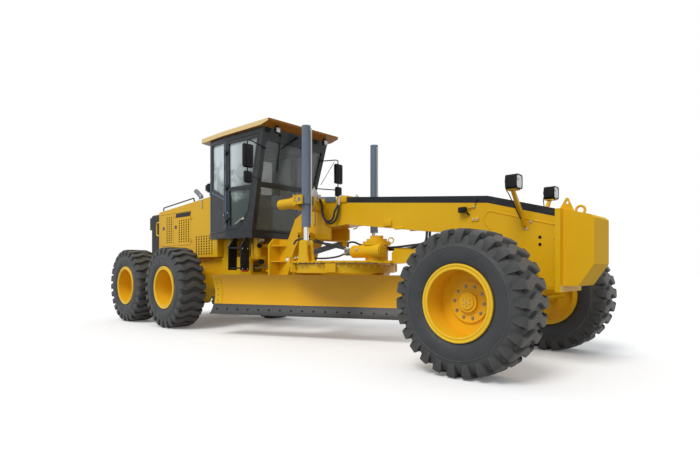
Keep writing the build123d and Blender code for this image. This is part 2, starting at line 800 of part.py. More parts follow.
def lean_yoke():
    """Left yoke: leans about its lower pin and carries the kingpin."""
    x, hub_z = front_axle_x, tyre_radius
    web = cross_plate([(568, hub_z - 185), (632, hub_z - 185), (650, hub_z - 115),
                       (650, hub_z + 285), (600, hub_z + 305), (568, hub_z + 285)],
                      (x - yoke_half, x + yoke_half), radius=[25, 25, 0, 0, 0, 0])
    yoke = web
    for z in (kingpin_low, kingpin_high - 28):
        yoke += floor_plate([(x - 48, 640), (x + 48, 640), (x + 48, kingpin_y + 48),
                             (x - 48, kingpin_y + 48)], (z, z + 28), radius=[0, 0, 40, 40])
    yoke += bar((x, kingpin_y, kingpin_low), (x, kingpin_y, kingpin_high), kingpin_radius)
    return yoke - bar((x - 60, lean_pin_y, lean_pin_z), (x + 60, lean_pin_y, lean_pin_z),
                      lean_pin_radius + pin_clearance)


def knuckle():
    """Left knuckle: turns on the kingpin, with the wheel's spindle and the steering arm."""
    x = front_axle_x
    low, high = kingpin_low + 34, kingpin_high - 34
    body = bar((x, kingpin_y, low), (x, kingpin_y, high), knuckle_radius)
    body += bar((x, kingpin_y, tyre_radius), (x, front_track / 2 + spindle_end, tyre_radius), spindle_radius)
    arm = block((x, x + arm_length), (kingpin_y - 18, kingpin_y + 18), (tie_rod_z - 18, tie_rod_z + 18))
    tip = bar((x + arm_length, kingpin_y, tie_rod_z - 24), (x + arm_length, kingpin_y, tie_rod_z + 24), 30)
    return body + arm + tip - bar((x, kingpin_y, low - 1), (x, kingpin_y, high + 1),
                                  kingpin_radius + pin_clearance)


def tie_rod():
    """Rod in front of the axle, with a flat joint head against each steering arm."""
    x = front_axle_x + arm_length + 30.5
    head = block((x, x + 40), (kingpin_y - 28, kingpin_y + 28), (tie_rod_z - 24, tie_rod_z + 24))
    return both(head) + bar((x + 20, -kingpin_y, tie_rod_z), (x + 20, kingpin_y, tie_rod_z), 18)


def lean_bar():
    """Bar that links the tops of the two yokes, so that both wheels lean together."""
    x = front_axle_x + yoke_half + 0.5
    half = 625
    points = [(-half, lean_bar_z - 32), (half, lean_bar_z - 32), (half, lean_bar_z + 32),
              (-half, lean_bar_z + 32)]
    return cross_plate(points, (x, x + 30), radius=28)


# ---- Saddle, lift cylinders and centre-shift cylinder --------------------------------------
lift_x = pivot_x + 1360
lift_y = 700
trunnion_z = 1900
trunnion_radius = 28
lift_top = 2890
lift_bottom = 1540
lift_eye_z = 1320
lift_barrel_radius = 60
lift_rod_radius = 35
shift_x = pivot_x + 890
shift_y = 450
shift_pin_z = 1380


def saddle():
    """Frame round the gooseneck: arms to the lift cylinders' yokes, and the index bar below."""
    x = shift_x + 210
    outer = beam_half_width + 30
    ring = both(side_plate([(x - 160, 1420), (x + 210, 1400), (x + 210, 1560), (x + 100, 1620),
                            (x + 100, 1990), (x - 130, 1990), (x - 160, 1700)],
                           (beam_half_width, outer)))
    arm = side_plate([(x - 60, 1800), (x + 70, 1800), (x + 70, 1970), (x - 60, 1970)],
                     (outer, lift_y - 130), radius=30)
    carrier = bar((x - 250, lift_y + 20, trunnion_z - 20), (lift_x - 95, lift_y + 20, trunnion_z - 20), 70)
    elbow = block((x - 60, x + 70), (lift_y - 130, lift_y + 20), (1810, 1960))
    outer_y = 125
    inner_y = 98
    yoke = block((lift_x - 130, lift_x - 85), (lift_y - outer_y, lift_y + outer_y),
                 (trunnion_z - 70, trunnion_z + 70))
    for low, high in ((-outer_y, -inner_y), (inner_y, outer_y)):
        yoke += block((lift_x - 90, lift_x + 45), (lift_y + low, lift_y + high),
                      (trunnion_z - 60, trunnion_z + 60))
    yoke -= bar((lift_x, lift_y - outer_y - 1, trunnion_z), (lift_x, lift_y + outer_y + 1, trunnion_z),
                trunnion_radius + pin_clearance)
    frame = ring + both(arm + carrier + elbow + yoke)
    bar_plate = block((shift_x + 50, shift_x + 90), (-520, 520), (1400, 1500))
    for index in range(5):
        y = (index - 2) * 200
        bar_plate -= bar((shift_x + 49, y, 1450), (shift_x + 91, y, 1450), 26)
    bracket = block((shift_x + 50, shift_x + 90), (shift_y - 50, shift_y + 50), (shift_pin_z - 50, 1400))
    bracket += bar((shift_x - 45, shift_y, shift_pin_z), (shift_x + 90, shift_y, shift_pin_z), 25)
    return frame + bar_plate + bracket


def lift_barrel():
    """Left barrel, closed at its top, with the trunnion collar that swings in the yoke."""
    x, y = lift_x, lift_y
    bore = lift_barrel_radius - 14
    barrel = bar((x, y, lift_bottom), (x, y, lift_top), lift_barrel_radius)
    barrel -= bar((x, y, lift_bottom + 50), (x, y, lift_top - 40), bore)
    barrel -= bar((x, y, lift_bottom - 1), (x, y, lift_bottom + 51), lift_rod_radius + pin_clearance)
    collar = tube((x, y, trunnion_z - 55), (x, y, trunnion_z + 55), 80, lift_barrel_radius)
    pins = bar((x, y + 70, trunnion_z), (x, y + 125, trunnion_z), trunnion_radius)
    pins += bar((x, y - 125, trunnion_z), (x, y - 70, trunnion_z), trunnion_radius)
    return barrel + collar + pins


def lift_rod():
    """Left rod with its piston inside the barrel and its eye in the drawbar's bracket."""
    x, y = lift_x, lift_y
    rod_top = lift_top - 160
    rod_bar = bar((x, y, lift_eye_z), (x, y, rod_top), lift_rod_radius)
    piston = bar((x, y, rod_top - 60), (x, y, rod_top), lift_barrel_radius - 14 - pin_clearance)
    eye = bar((x, y - 30, lift_eye_z), (x, y + 30, lift_eye_z), 52)
    return rod_bar + piston + eye


shift_eye_y = -600
shift_eye_z = ball_z + 60
shift_lap = 0.9


def shift_axis(distance):
    """Point on the centre-shift cylinder's line, at a distance from its barrel's pin."""
    start = Vector(shift_x, shift_y, shift_pin_z)
    end = Vector(shift_x, shift_eye_y, shift_eye_z)
    point = start + (end - start).normalized() * distance
    return (point.X, point.Y, point.Z)


def shift_span():
    """Distance between the centre-shift cylinder's two pins."""
    return sqrt((shift_y - shift_eye_y) ** 2 + (shift_pin_z - shift_eye_z) ** 2)


def centre_shift_barrel():
    """Barrel below the index bar, with its pin eye on the left."""
    barrel = bar(shift_axis(0), shift_axis(880), 42)
    barrel -= bar(shift_axis(60), shift_axis(840), 32)
    barrel -= bar(shift_axis(839), shift_axis(881), 22 + pin_clearance)
    pin_eye = bar((shift_x - 30, shift_y, shift_pin_z), (shift_x + 15, shift_y, shift_pin_z), 46)
    hole = bar((shift_x - 50, shift_y, shift_pin_z), (shift_x + 50, shift_y, shift_pin_z), 25 + pin_clearance)
    return barrel + pin_eye - hole


def centre_shift_rod():
    """Rod whose flat eye lies beside the drawbar's tab."""
    piston = bar(shift_axis(150), shift_axis(200), 32 - pin_clearance)
    eye = bar((shift_x - 28, shift_eye_y, shift_eye_z),
              (shift_x + 30 - shift_lap, shift_eye_y, shift_eye_z), 38)
    return bar(shift_axis(150), shift_axis(shift_span()), 22) + piston + eye


# ---- Drawbar, circle and blade -------------------------------------------------------------
plate_z = 1055
plate_top = 1090
ring_low = 965
ring_high = 1045
ring_outer = 720
ring_inner = 600


def drawbar():
    """Ball at its nose, box beam, circle plate with guide shoes, and lift brackets."""
    c = circle_x
    left = [(c - 450, 620), (c - 250, 730), (c + 250, 730), (c + 620, 470), (c + 950, 150)]
    right = [(x, -y) for x, y in reversed(left)]
    plate = floor_plate(left + right, (plate_z, plate_top))
    plate -= bar((c, 0, plate_z - 1), (c, 0, plate_top + 1), 420)
    beam = side_plate([(ball_x - 50, ball_z - 38), (ball_x - 50, ball_z + 38), (c + 1150, 1250),
                       (c + 985, 1250), (c + 925, 1190), (c + 925, plate_z), (c + 1150, plate_z)],
                      (-90, 90))
    ball = Pos(ball_x, 0, ball_z) * Sphere(ball_radius)
    bar_body = plate + beam + ball
    for inner, outer in ((lift_y - 62, lift_y - 36), (lift_y + 36, lift_y + 62)):
        cheek = side_plate([(lift_x - 110, plate_z), (lift_x - 80, plate_top + 90),
                            (lift_x - 70, lift_eye_z + 50), (lift_x + 70, lift_eye_z + 50),
                            (lift_x + 80, plate_top + 90), (lift_x + 110, plate_z)],
                           (inner, outer), radius=[0, 0, 50, 50, 0, 0])
        bar_body += both(cheek)
    bar_body += both(block((lift_x - 110, lift_x + 110), (lift_y - 62, lift_y + 62), (plate_z, plate_top)))
    for angle in (60, 118, 242, 300):
        shoe = block((ring_outer + 7, ring_outer + 60), (-70, 70), (940, plate_z))
        shoe += block((ring_outer - 28, ring_outer + 60), (-70, 70), (940, ring_low - seat_gap))
        bar_body += Pos(c, 0, 0) * Rot(0, 0, angle) * shoe
    tab = block((shift_x + 30, c - 440), (shift_eye_y - 50, shift_eye_y + 50), (plate_z, plate_top))
    tab += side_plate([(shift_x + 30, plate_z), (shift_x + 30, shift_eye_z - 20),
                       (shift_x + 36, shift_eye_z + 40), (shift_x + 60, shift_eye_z + 40),
                       (shift_x + 60, plate_z)], (shift_eye_y - 38, shift_eye_y + 38))
    return bar_body + tab


def circle_drive():
    """Worm gearbox and motor that turn the circle."""
    x = circle_x + 700
    y = -120
    drive = bar((x, y, plate_top), (x, y, 1292), 150)
    # radius, lower and upper height of the flange, the dome and the cap
    for radius, low, high in ((185, 1292, 1340), (135, 1340, 1375), (86, 1375, 1400)):
        drive += bar((x, y, low), (x, y, high), radius)
    for angle in range(0, 360, 45):
        tooth = block((58, 86), (-17, 17), (1400, 1420))
        drive += Pos(x, y, 0) * Rot(0, 0, angle) * tooth
    drive += bar((x - 290, y - 130, 1212), (x + 200, y - 130, 1212), 84)
    return drive + bar((x - 420, y - 130, 1212), (x - 290, y - 130, 1212), 50)


BLADE_ANGLE = -66
arm_y = (580, 630)
tip_x = 80
tip_z = 470
tip_pin = 30


def placed(shape):
    """Move a shape drawn square to the machine about the circle's middle to its angle."""
    return Pos(circle_x, 0, 0) * Rot(0, 0, BLADE_ANGLE) * shape


def circle():
    """Ring that turns under the drawbar, with an arm each side down to the blade's hinge."""
    ring = tube((0, 0, ring_low), (0, 0, ring_high), ring_outer, ring_inner)
    arm = side_plate([(-240, ring_low), (240, ring_low), (150, 860), (tip_x + 62, tip_z + 20),
                      (tip_x + 40, tip_z - 50), (tip_x - 40, tip_z - 50), (tip_x - 62, tip_z + 20),
                      (-40, 860)], arm_y, radius=[0, 0, 40, 0, 30, 30, 0, 40])
    arm -= bar((tip_x, arm_y[0] - 1, tip_z), (tip_x, arm_y[1] + 1, tip_z), tip_pin + pin_clearance)
    cross = block((-60, 20), (-arm_y[0], arm_y[0]), (880, 930))
    return placed(ring + both(arm) + cross)


blade_arc_x = 700
blade_arc_z = 610
blade_radius = 420
blade_plate = 20
blade_low = 365
blade_high = 900
edge_low = 320
edge_high = 465
edge_plate = 16
blade_right = -1980
blade_left = 1680
rail_x = 225
RAILS = ((480, 520), (720, 760))


def arc_strip(outer, inner, low, high, y):
    """Strip of a hollow cylinder, cut between two heights on its rear side."""
    start, end = (blade_arc_x, y[0], blade_arc_z), (blade_arc_x, y[1], blade_arc_z)
    strip = bar(start, end, outer) - bar(start, end, inner)
    return strip & block((0, blade_arc_x - 200), y, (low, high))


def moldboard():
    """Curved blade plate with two slide rails along its back."""
    span = (blade_right, blade_left)
    plate = arc_strip(blade_radius + blade_plate, blade_radius, blade_low, blade_high, span)
    for low, high in RAILS:
        reach = max(abs(low - blade_arc_z), abs(high - blade_arc_z))
        depth = sqrt((blade_radius + blade_plate) ** 2 - reach ** 2)
        plate += block((rail_x, blade_arc_x - depth + 4), (-1250, 1100), (low, high))
    return placed(plate)


def cutting_edge():
    """Bolt-on edge along the foot of the blade, with an end bit at each end."""
    edge = arc_strip(blade_radius, blade_radius - edge_plate, edge_low, edge_high, (blade_right, blade_left))
    return placed(edge)


def blade_carrier():
    """Two hooked brackets on a cross tube: they tip on the circle's arms and hold the rails."""
    bracket_y = (500, 572)
    x1 = rail_x - 0.5
    hook_gap = 0.5
    body = side_plate([(tip_x - 60, tip_z - 40), (tip_x + 20, tip_z - 60), (x1, 440), (x1, 800),
                       (x1 - 60, 800), (tip_x - 40, tip_z + 60)], bracket_y)
    for low, high in RAILS:
        body += block((x1 - 1, x1 + 26), bracket_y, (low - 40, low - hook_gap))
        body += block((x1 - 1, x1 + 26), bracket_y, (high + hook_gap, high + 40))
    body += bar((tip_x, bracket_y[1], tip_z), (tip_x, arm_y[1] + 12, tip_z), tip_pin)
    cross = bar((140, -bracket_y[0], 620), (140, bracket_y[0], 620), 45)
    return placed(both(body) + cross)


# ---- Articulation cylinders ----------------------------------------------------------------
def artic_barrel():
    """Left barrel, pinned to the rear frame's anchor."""
    x0 = anchor_x
    y, z = cylinder_y, cylinder_z
    barrel = bar((x0, y, z), (x0 + 600, y, z), 45)
    barrel -= bar((x0 + 60, y, z), (x0 + 570, y, z), 34)
    barrel -= bar((x0 + 569, y, z), (x0 + 601, y, z), 24 + pin_clearance)
    return barrel + bar((x0, y, z - 61.5), (x0, y, z + 55), 50)


def artic_rod():
    """Left rod, whose eye stands on the front frame's lug."""
    x1 = pivot_x + artic_eye
    y, z = cylinder_y, cylinder_z
    rod_bar = bar((anchor_x + 340, y, z), (x1, y, z), 24)
    piston = bar((anchor_x + 340, y, z), (anchor_x + 390, y, z), 34 - pin_clearance)
    eye = bar((x1, y, z - 50), (x1, y, z + 40), 42)
    return rod_bar + piston + eye


# ---- Build ---------------------------------------------------------------------------------
def make_single_nodes():
    pane = cab_glass()
    nodes = {
        "rear_frame": rear_frame(),
        "tandem_drive": tandem_drive(),
        "engine_block": engine_block(),
        "engine_hood": engine_hood(),
        "radiator_guard": radiator_guard(),
        "exhaust_pipe": exhaust_pipe(),
        "air_precleaner": air_precleaner(),
        "hood_rails": hood_rails(),
        "cab_shell": cab_shell(),
        "cab_roof": cab_roof(),
        "cab_windows": cab_windows(pane),
        "operator_seat": operator_seat(),
        "control_console": control_console(),
        "mirrors": mirrors(),
        "ladders": ladders(),
        "front_frame": front_frame(),
        "counterweight": counterweight(),
        "headlamps": headlamps(),
        "front_axle": front_axle(),
        "tie_rod": tie_rod(),
        "lean_bar": lean_bar(),
        "saddle": saddle(),
        "centre_shift_barrel": centre_shift_barrel(),
        "centre_shift_rod": centre_shift_rod(),
        "drawbar": drawbar(),
        "circle_drive": circle_drive(),
        "circle": circle(),
        "blade_carrier": blade_carrier(),
        "moldboard": moldboard(),
        "cutting_edge": cutting_edge(),
    }
    for name, shape in nodes.items():
        save(shape, name)
    return pane


def make_paired_nodes(pane):
    """Pieces drawn for the left side and mirrored for the right."""
    nodes = {
        "lean_yoke": lean_yoke(),
        "knuckle": knuckle(),
        "lift_barrel": lift_barrel(),
        "lift_rod": lift_rod(),
        "artic_barrel": artic_barrel(),
        "artic_rod": artic_rod(),
        "cab_door": cab_door(),
        "cab_door_glass": cab_door_glass(pane),
        "hood_door": hood_door(),
    }
    for name, shape in nodes.items():
        for side, sign in SIDES:
            save(for_side(shape, sign), f"{name}_{side}")


make_wheels()
make_paired_nodes(make_single_nodes())
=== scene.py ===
"""A six-wheel motor grader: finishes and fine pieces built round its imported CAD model."""

import math

import bmesh
import bpy
from mathutils import Matrix, Vector
from mathutils.bvhtree import BVHTree


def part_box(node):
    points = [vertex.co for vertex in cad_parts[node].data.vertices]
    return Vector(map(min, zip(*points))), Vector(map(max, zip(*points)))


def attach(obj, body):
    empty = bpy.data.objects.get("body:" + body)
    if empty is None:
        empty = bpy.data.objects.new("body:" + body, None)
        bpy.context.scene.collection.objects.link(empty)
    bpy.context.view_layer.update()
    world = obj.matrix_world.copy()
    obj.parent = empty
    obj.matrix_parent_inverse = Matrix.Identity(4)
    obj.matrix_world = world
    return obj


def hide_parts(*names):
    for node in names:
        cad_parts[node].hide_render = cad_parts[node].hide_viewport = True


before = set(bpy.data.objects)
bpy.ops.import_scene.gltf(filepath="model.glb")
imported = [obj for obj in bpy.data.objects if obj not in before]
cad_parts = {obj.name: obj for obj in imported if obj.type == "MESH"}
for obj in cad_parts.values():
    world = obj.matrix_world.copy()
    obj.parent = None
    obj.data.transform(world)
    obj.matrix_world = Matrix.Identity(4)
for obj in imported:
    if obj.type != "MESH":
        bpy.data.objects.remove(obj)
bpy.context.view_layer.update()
scene = bpy.context.scene


# ---- Camera and studio ----------------------------------------------------------------------
# A wide lens low beside the right front wheel, as a person would stand and look along the
# machine, with a pale seamless floor under one broad soft lamp.
camera_data = bpy.data.cameras.new("studio_camera")
camera_data.sensor_width = 36
camera_data.lens = 24.91
camera_data.shift_x = -0.0016
camera_data.shift_y = 0.0525
camera = bpy.data.objects.new("studio_camera", camera_data)
camera.location = (5.6985, -5.013, 0.979)
camera.rotation_euler = (math.radians(90), 0, math.radians(43.03))
scene.collection.objects.link(camera)
scene.camera = camera
scene.view_settings.view_transform = "Standard"


def sign(operation, swapped=False):
    """One of Python's signs between a wire and something else, as a Math node."""
    def join(wire, other):
        return wire.maths(operation, *((other, wire) if swapped else (wire, other)))
    return join


class Wire:
    """A shader socket that takes part in sums."""

    def __init__(self, tree, socket):
        self.tree = tree
        self.socket = socket

    def maths(self, operation, *values):
        node = self.tree.nodes.new("ShaderNodeMath")
        node.operation = operation
        for socket, value in zip(node.inputs, values):
            feed(self.tree, socket, value)
        return Wire(self.tree, node.outputs[0])

    __add__ = __radd__ = sign("ADD")
    __sub__ = sign("SUBTRACT")
    __rsub__ = sign("SUBTRACT", swapped=True)
    __mul__ = __rmul__ = sign("MULTIPLY")
    __gt__ = sign("GREATER_THAN")
    __lt__ = sign("LESS_THAN")


def feed(tree, socket, value):
    """Puts a number, a colour or another socket's link into a socket."""
    if isinstance(value, Wire):
        tree.links.new(value.socket, socket)
    elif socket.type == "RGBA" and len(value) == 3:
        socket.default_value = (*value, 1)
    else:
        socket.default_value = value


class Finish:
    """One paint, metal, rubber or glass, as a material made of nodes."""

    def __init__(self, name):
        self.material = bpy.data.materials.new(name)
        self.material.use_nodes = True
        self.tree = self.material.node_tree
        self.surface = self.tree.nodes["Principled BSDF"]
        coordinates = self.tree.nodes.new("ShaderNodeTexCoord")
        self.place = Wire(self.tree, coordinates.outputs["Object"])

    def node(self, kind, values=(), out=0, **settings):
        node = self.tree.nodes.new("ShaderNode" + kind)
        for key, value in settings.items():
            setattr(node, key, value)
        for key, value in dict(values).items():
            feed(self.tree, node.inputs[key], value)
        return Wire(self.tree, node.outputs[out])

    def noise(self, scale, detail=3.0, roughness=0.5, stretch=None):
        """Soft cloudy value, from 0 to 1, of a given number of clouds to the metre."""
        place = self.place
        if stretch:
            place = self.node("Mapping", {"Vector": place, "Scale": stretch})
        values = {"Vector": place, "Scale": scale, "Detail": detail, "Roughness": roughness}
        return self.node("TexNoise", values)

    def ramp(self, value, low, high, bottom=0.0, top=1.0):
        """A value turned from the span low to high into the span bottom to top."""
        keys = {"Value": value, "From Min": low, "From Max": high, "To Min": bottom, "To Max": top}
        return self.node("MapRange", keys)

    def blend(self, share, first, second):
        """A colour between two others."""
        node = self.tree.nodes.new("ShaderNodeMix")
        node.data_type = "RGBA"
        for index, value in ((0, share), (6, first), (7, second)):
            feed(self.tree, node.inputs[index], value)
        return Wire(self.tree, node.outputs[2])

    def axis(self, name):
        return self.node("SeparateXYZ", {"Vector": self.place}, out="XYZ".index(name))

    def bump(self, height, distance, strength=1.0):
        values = {"Height": height, "Distance": distance, "Strength": strength}
        return self.node("Bump", values)

    def wear(self, **sockets):
        """Gives the surface its colour, roughness and the rest; names use _ for a space."""
        for key, value in sockets.items():
            feed(self.tree, self.surface.inputs[key.replace("_", " ")], value)
        return self


def show_white(tree, seen, lit):
    """A shader that is one thing to the eye, in gloss and through glass, and another as light."""
    path = tree.nodes.new("ShaderNodeLightPath")
    share = Wire(tree, path.outputs["Is Camera Ray"])
    for kind in ("Is Glossy Ray", "Is Transmission Ray"):
        share = share.maths("MAXIMUM", share, Wire(tree, path.outputs[kind]))
    mix = tree.nodes.new("ShaderNodeMixShader")
    feed(tree, mix.inputs[0], share)
    tree.links.new(lit, mix.inputs[1])
    tree.links.new(seen, mix.inputs[2])
    return mix.outputs[0]


world = bpy.data.worlds.new("studio")
scene.world = world
world.use_nodes = True
sky = world.node_tree
backdrop = sky.nodes.new("ShaderNodeBackground")
backdrop.inputs["Strength"].default_value = 1.0
backdrop.inputs["Color"].default_value = (1, 1, 1, 1)
soft_light = sky.nodes["Background"]
soft_light.inputs["Color"].default_value = (0.94, 0.97, 1.0, 1)
soft_light.inputs["Strength"].default_value = 0.70
world_out = sky.nodes["World Output"]
sky.links.new(show_white(sky, backdrop.outputs[0], soft_light.outputs[0]), world_out.inputs["Surface"])

key_data = bpy.data.lights.new("key_lamp", "SUN")
key_data.energy = 1.55
key_data.angle = math.radians(25)
key_data.color = (1.0, 0.985, 0.96)
key_lamp = bpy.data.objects.new("key_lamp", key_data)
key_direction = Vector((0.10, -0.66, 0.82))
key_lamp.rotation_euler = key_direction.to_track_quat("Z", "Y").to_euler()
scene.collection.objects.link(key_lamp)

floor_mesh = bpy.data.meshes.new("studio_floor")
floor_radius = 60
floor_corners = 64
floor_turns = [step * math.tau / floor_corners for step in range(floor_corners)]
floor_rim = [(floor_radius * math.cos(turn), floor_radius * math.sin(turn), 0) for turn in floor_turns]
floor_mesh.from_pydata(floor_rim, [], [range(floor_corners)])
floor = bpy.data.objects.new("studio_floor", floor_mesh)
scene.collection.objects.link(floor)
floor_finish = Finish("studio_floor_white")
floor_finish.wear(Base_Color=(0.95, 0.95, 0.95), Roughness=0.9, Specular_IOR_Level=0.0)
floor_bounce = floor_finish.node("BsdfDiffuse", {"Color": (0.32, 0.32, 0.32)})
floor_glow = floor_finish.node("Emission", {"Strength": 0.09})
floor_own = Wire(floor_finish.tree, floor_finish.surface.outputs[0])
floor_sum = floor_finish.node("AddShader", {0: floor_own, 1: floor_glow})
floor_seen = show_white(floor_finish.tree, floor_sum.socket, floor_bounce.socket)
floor_finish.tree.links.new(floor_seen, floor_finish.tree.nodes["Material Output"].inputs["Surface"])
floor_mesh.materials.append(floor_finish.material)


# ---- Painted steelwork ----------------------------------------------------------------------
# Welded plate frames, hood, axle, drawbar and saddle, sprayed in one glossy warm yellow. The blade
# has a deeper and glossier coat, and the cast counterweight a duller one.
def sprayed(name, colour, shade, roughness=0.36, coat=0.08, patches=()):
    """Gloss machine paint with a little dust; each patch is a test of place and a colour laid over it, on
    some pieces real paint and on others painted reflection and painted shade.
    """
    paint = Finish(name)
    clouds = paint.noise(1.3, 4.0)
    dust = paint.ramp(paint.noise(9.0, 6.0, 0.65), 0.52, 0.8)
    tone = paint.blend(paint.ramp(clouds, 0.3, 0.7), colour, shade)
    for covers, patch_colour in patches:
        tone = paint.blend(covers(paint), tone, patch_colour)
    tone = paint.blend(dust * 0.05, tone, (0.60, 0.50, 0.33))
    skin = paint.noise(260.0, 2.0)
    paint.wear(
        Base_Color=tone,
        Roughness=roughness + dust * 0.12 + (clouds - 0.5) * 0.08,
        Specular_IOR_Level=0.12,
        Coat_Weight=coat,
        Coat_Roughness=0.12,
        Normal=paint.bump(skin, 0.0004, 0.25),
    )
    return paint


def dress(finish, *nodes):
    """Gives CAD nodes a finish."""
    for name in nodes:
        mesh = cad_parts[name].data
        mesh.materials.clear()
        mesh.materials.append(finish.material)


def under_beam_line(paint):
    """The dark band along the upper edge of the front beam's sides."""
    x, z = paint.axis("X"), paint.axis("Z")
    rear_line = 1.975 - (x - 1.0925) * 0.0948
    front_line = 1.775 - (x - 3.2025) * 0.2763
    band_top = rear_line.maths("MINIMUM", rear_line, front_line)
    return (z > band_top - 0.078) * (x > 1.10) * (x < 3.955)


def skin_facing(paint, name):
    """How far the skin faces along an axis, from -1 to 1."""
    return paint.node("SeparateXYZ", {"Vector": paint.node("NewGeometry", out=1)}, out="XYZ".index(name))


# Skin that faces upwards; on the hood it takes a pale painted reflection.
def upward(paint):
    return skin_facing(paint, "Z") > 0.35


# Forward-facing skin; on the roof it is painted darker as painted shade.
def roof_front_painted_shade(paint):
    return skin_facing(paint, "X") > 0.4


# Downward-facing skin; on the roof it is painted darker as painted shade.
def roof_underside_painted_shade(paint):
    return skin_facing(paint, "Z") < -0.4


def worm_motor(paint):
    return (paint.axis("X") < 1.303) * (paint.axis("Z") < 1.30)


def above_lamp_tray(paint):
    return paint.axis("Z") > 1.7585


def behind_hood(paint):
    return paint.axis("X") < -3.625


def door_recess_painted_shade(paint):
    """The walls of a hood door's vents and edges, behind its outer skin, painted black as the shade inside
    them.
    """
    across = paint.axis("Y")
    return across.maths("ABSOLUTE", across) < 0.5775


# The walls of the hood's own side vents, painted black as painted shade.
def hood_vent_painted_shade(paint):
    x, z = paint.axis("X"), paint.axis("Z")
    return door_recess_painted_shade(paint) * (x > -2.25) * (x < -1.67) * (z > 1.22) * (z < 1.58)


sides = ("right", "left")
machine_yellow = (0.83, 0.485, 0.010)
machine_shade = (0.775, 0.430, 0.008)
slate_colour = (0.17, 0.215, 0.285)
band_colour = (0.018, 0.022, 0.028)
black_colour = (0.010, 0.011, 0.013)
yellow_paint = sprayed("machine_yellow", machine_yellow, machine_shade)


def yellow_with_patches(name, *patches):
    """The machine's yellow with patches of other colours: some real paint, some painted reflection and
    painted shade.
    """
    return sprayed(name, machine_yellow, machine_shade, patches=patches)


nose_yellow = sprayed("nose_yellow", (0.82, 0.468, 0.012), machine_shade, roughness=0.65, coat=0.0)
dress(nose_yellow, "counterweight")
dress(yellow_paint, "rear_frame", "front_axle", "saddle", "drawbar",
      "circle", "blade_carrier", "lean_bar", "tie_rod", "tandem_drive")
for side in sides:
    dress(yellow_paint, f"lean_yoke_{side}", f"knuckle_{side}")
# The doors' vent walls and edges are painted black as painted shade.
door_paint = yellow_with_patches("hood_door_yellow", (door_recess_painted_shade, black_colour))
dress(door_paint, *[f"hood_door_{side}" for side in sides])
dress(yellow_with_patches("beam_two_tone", (under_beam_line, band_colour)), "front_frame")
# The hood's up-facing skin is painted near white as a painted reflection, and the walls of its side vents
# black as painted shade.
hood_top_painted_reflection = (0.93, 0.98, 1.0)
dress(yellow_with_patches("hood_painted_reflection_and_shade", (upward, hood_top_painted_reflection), (hood_vent_painted_shade, black_colour)), "engine_hood")
dress(yellow_with_patches("drive_two_tone", (worm_motor, slate_colour)), "circle_drive")
blade_gloss = sprayed("blade_gloss", (0.86, 0.455, 0.003), (0.81, 0.40, 0.002), roughness=0.30, coat=0.45)
dress(blade_gloss, "moldboard")
# The roof's forward-facing skin and its underside are painted a darker amber: painted shade.
roof_painted_shade_patches = ((roof_front_painted_shade, (0.30, 0.115, 0.010)), (roof_underside_painted_shade, (0.42, 0.175, 0.020)))
roof_paint = sprayed("roof_amber", (0.88, 0.66, 0.30), (0.84, 0.62, 0.27),
                     roughness=0.4, patches=roof_painted_shade_patches)
dress(roof_paint, "cab_roof")

rim_paint = sprayed("rim_yellow", (0.89, 0.53, 0.020), (0.85, 0.48, 0.015), roughness=0.34)
wheels = [f"{row}_{side}" for row in ("front", "middle", "rear") for side in sides]
dress(rim_paint, *[f"rim_{wheel}" for wheel in wheels])

charcoal_paint = sprayed("cab_charcoal", (0.032, 0.038, 0.042), (0.022, 0.026, 0.030),
                         roughness=0.30, coat=0.35)
dress(charcoal_paint, "cab_shell", *[f"cab_door_{side}" for side in sides])
black_paint = sprayed("fitting_black", black_colour, (0.007, 0.007, 0.009), roughness=0.42, coat=0.1)
dress(black_paint, "mirrors", "ladders", "air_precleaner", "radiator_guard")
rail_paint = sprayed("rails_two_tone", black_colour, black_colour, patches=((behind_hood, machine_yellow),))
dress(rail_paint, "hood_rails")
dress(yellow_with_patches("lamp_two_tone", (above_lamp_tray, black_colour)), "headlamps")
slate_paint = sprayed("cylinder_slate", slate_colour, (0.15, 0.19, 0.25), roughness=0.34)
dress(slate_paint, "centre_shift_barrel")
for side in sides:
    dress(slate_paint, f"lift_barrel_{side}", f"artic_barrel_{side}")


# ---- Bare and coated metals -----------------------------------------------------------------
# Chromed cylinder rods, the hardened steel of the cutting edge, the cast engine and the
# galvanised fittings; fine scratches run along each piece.
def metal(name, colour, roughness, streak=(1, 1, 1), metallic=1.0):
    steel = Finish(name)
    grain = steel.noise(38.0, 5.0, 0.6, stretch=streak)
    steel.wear(
        Base_Color=steel.blend(grain * 0.4, colour, tuple(part * 0.6 for part in colour)),
        Metallic=metallic,
        Roughness=roughness + (grain - 0.5) * 0.2,
        Normal=steel.bump(grain, 0.0006, 0.3),
    )
    return steel


chrome = metal("rod_chrome", (0.80, 0.82, 0.84), 0.12, streak=(6, 6, 0.4))
dress(chrome, "centre_shift_rod")
for side in sides:
    dress(chrome, f"lift_rod_{side}", f"artic_rod_{side}")
edge_steel = metal("edge_steel", (0.019, 0.021, 0.024), 0.46, streak=(1, 1, 3), metallic=0.0)
dress(edge_steel, "cutting_edge")
cast_iron = metal("engine_iron", (0.07, 0.075, 0.08), 0.6, metallic=0.4)
dress(cast_iron, "engine_block")
zinc = metal("plated_steel", (0.52, 0.50, 0.44), 0.34)
dull_zinc = metal("dull_plated_steel", (0.30, 0.26, 0.19), 0.45, metallic=0.7)
pale_cast = metal("cast_aluminium", (0.56, 0.55, 0.53), 0.5, metallic=0.2)
pipe_steel = metal("exhaust_steel", (0.20, 0.21, 0.23), 0.45)
dress(pipe_steel, "exhaust_pipe")


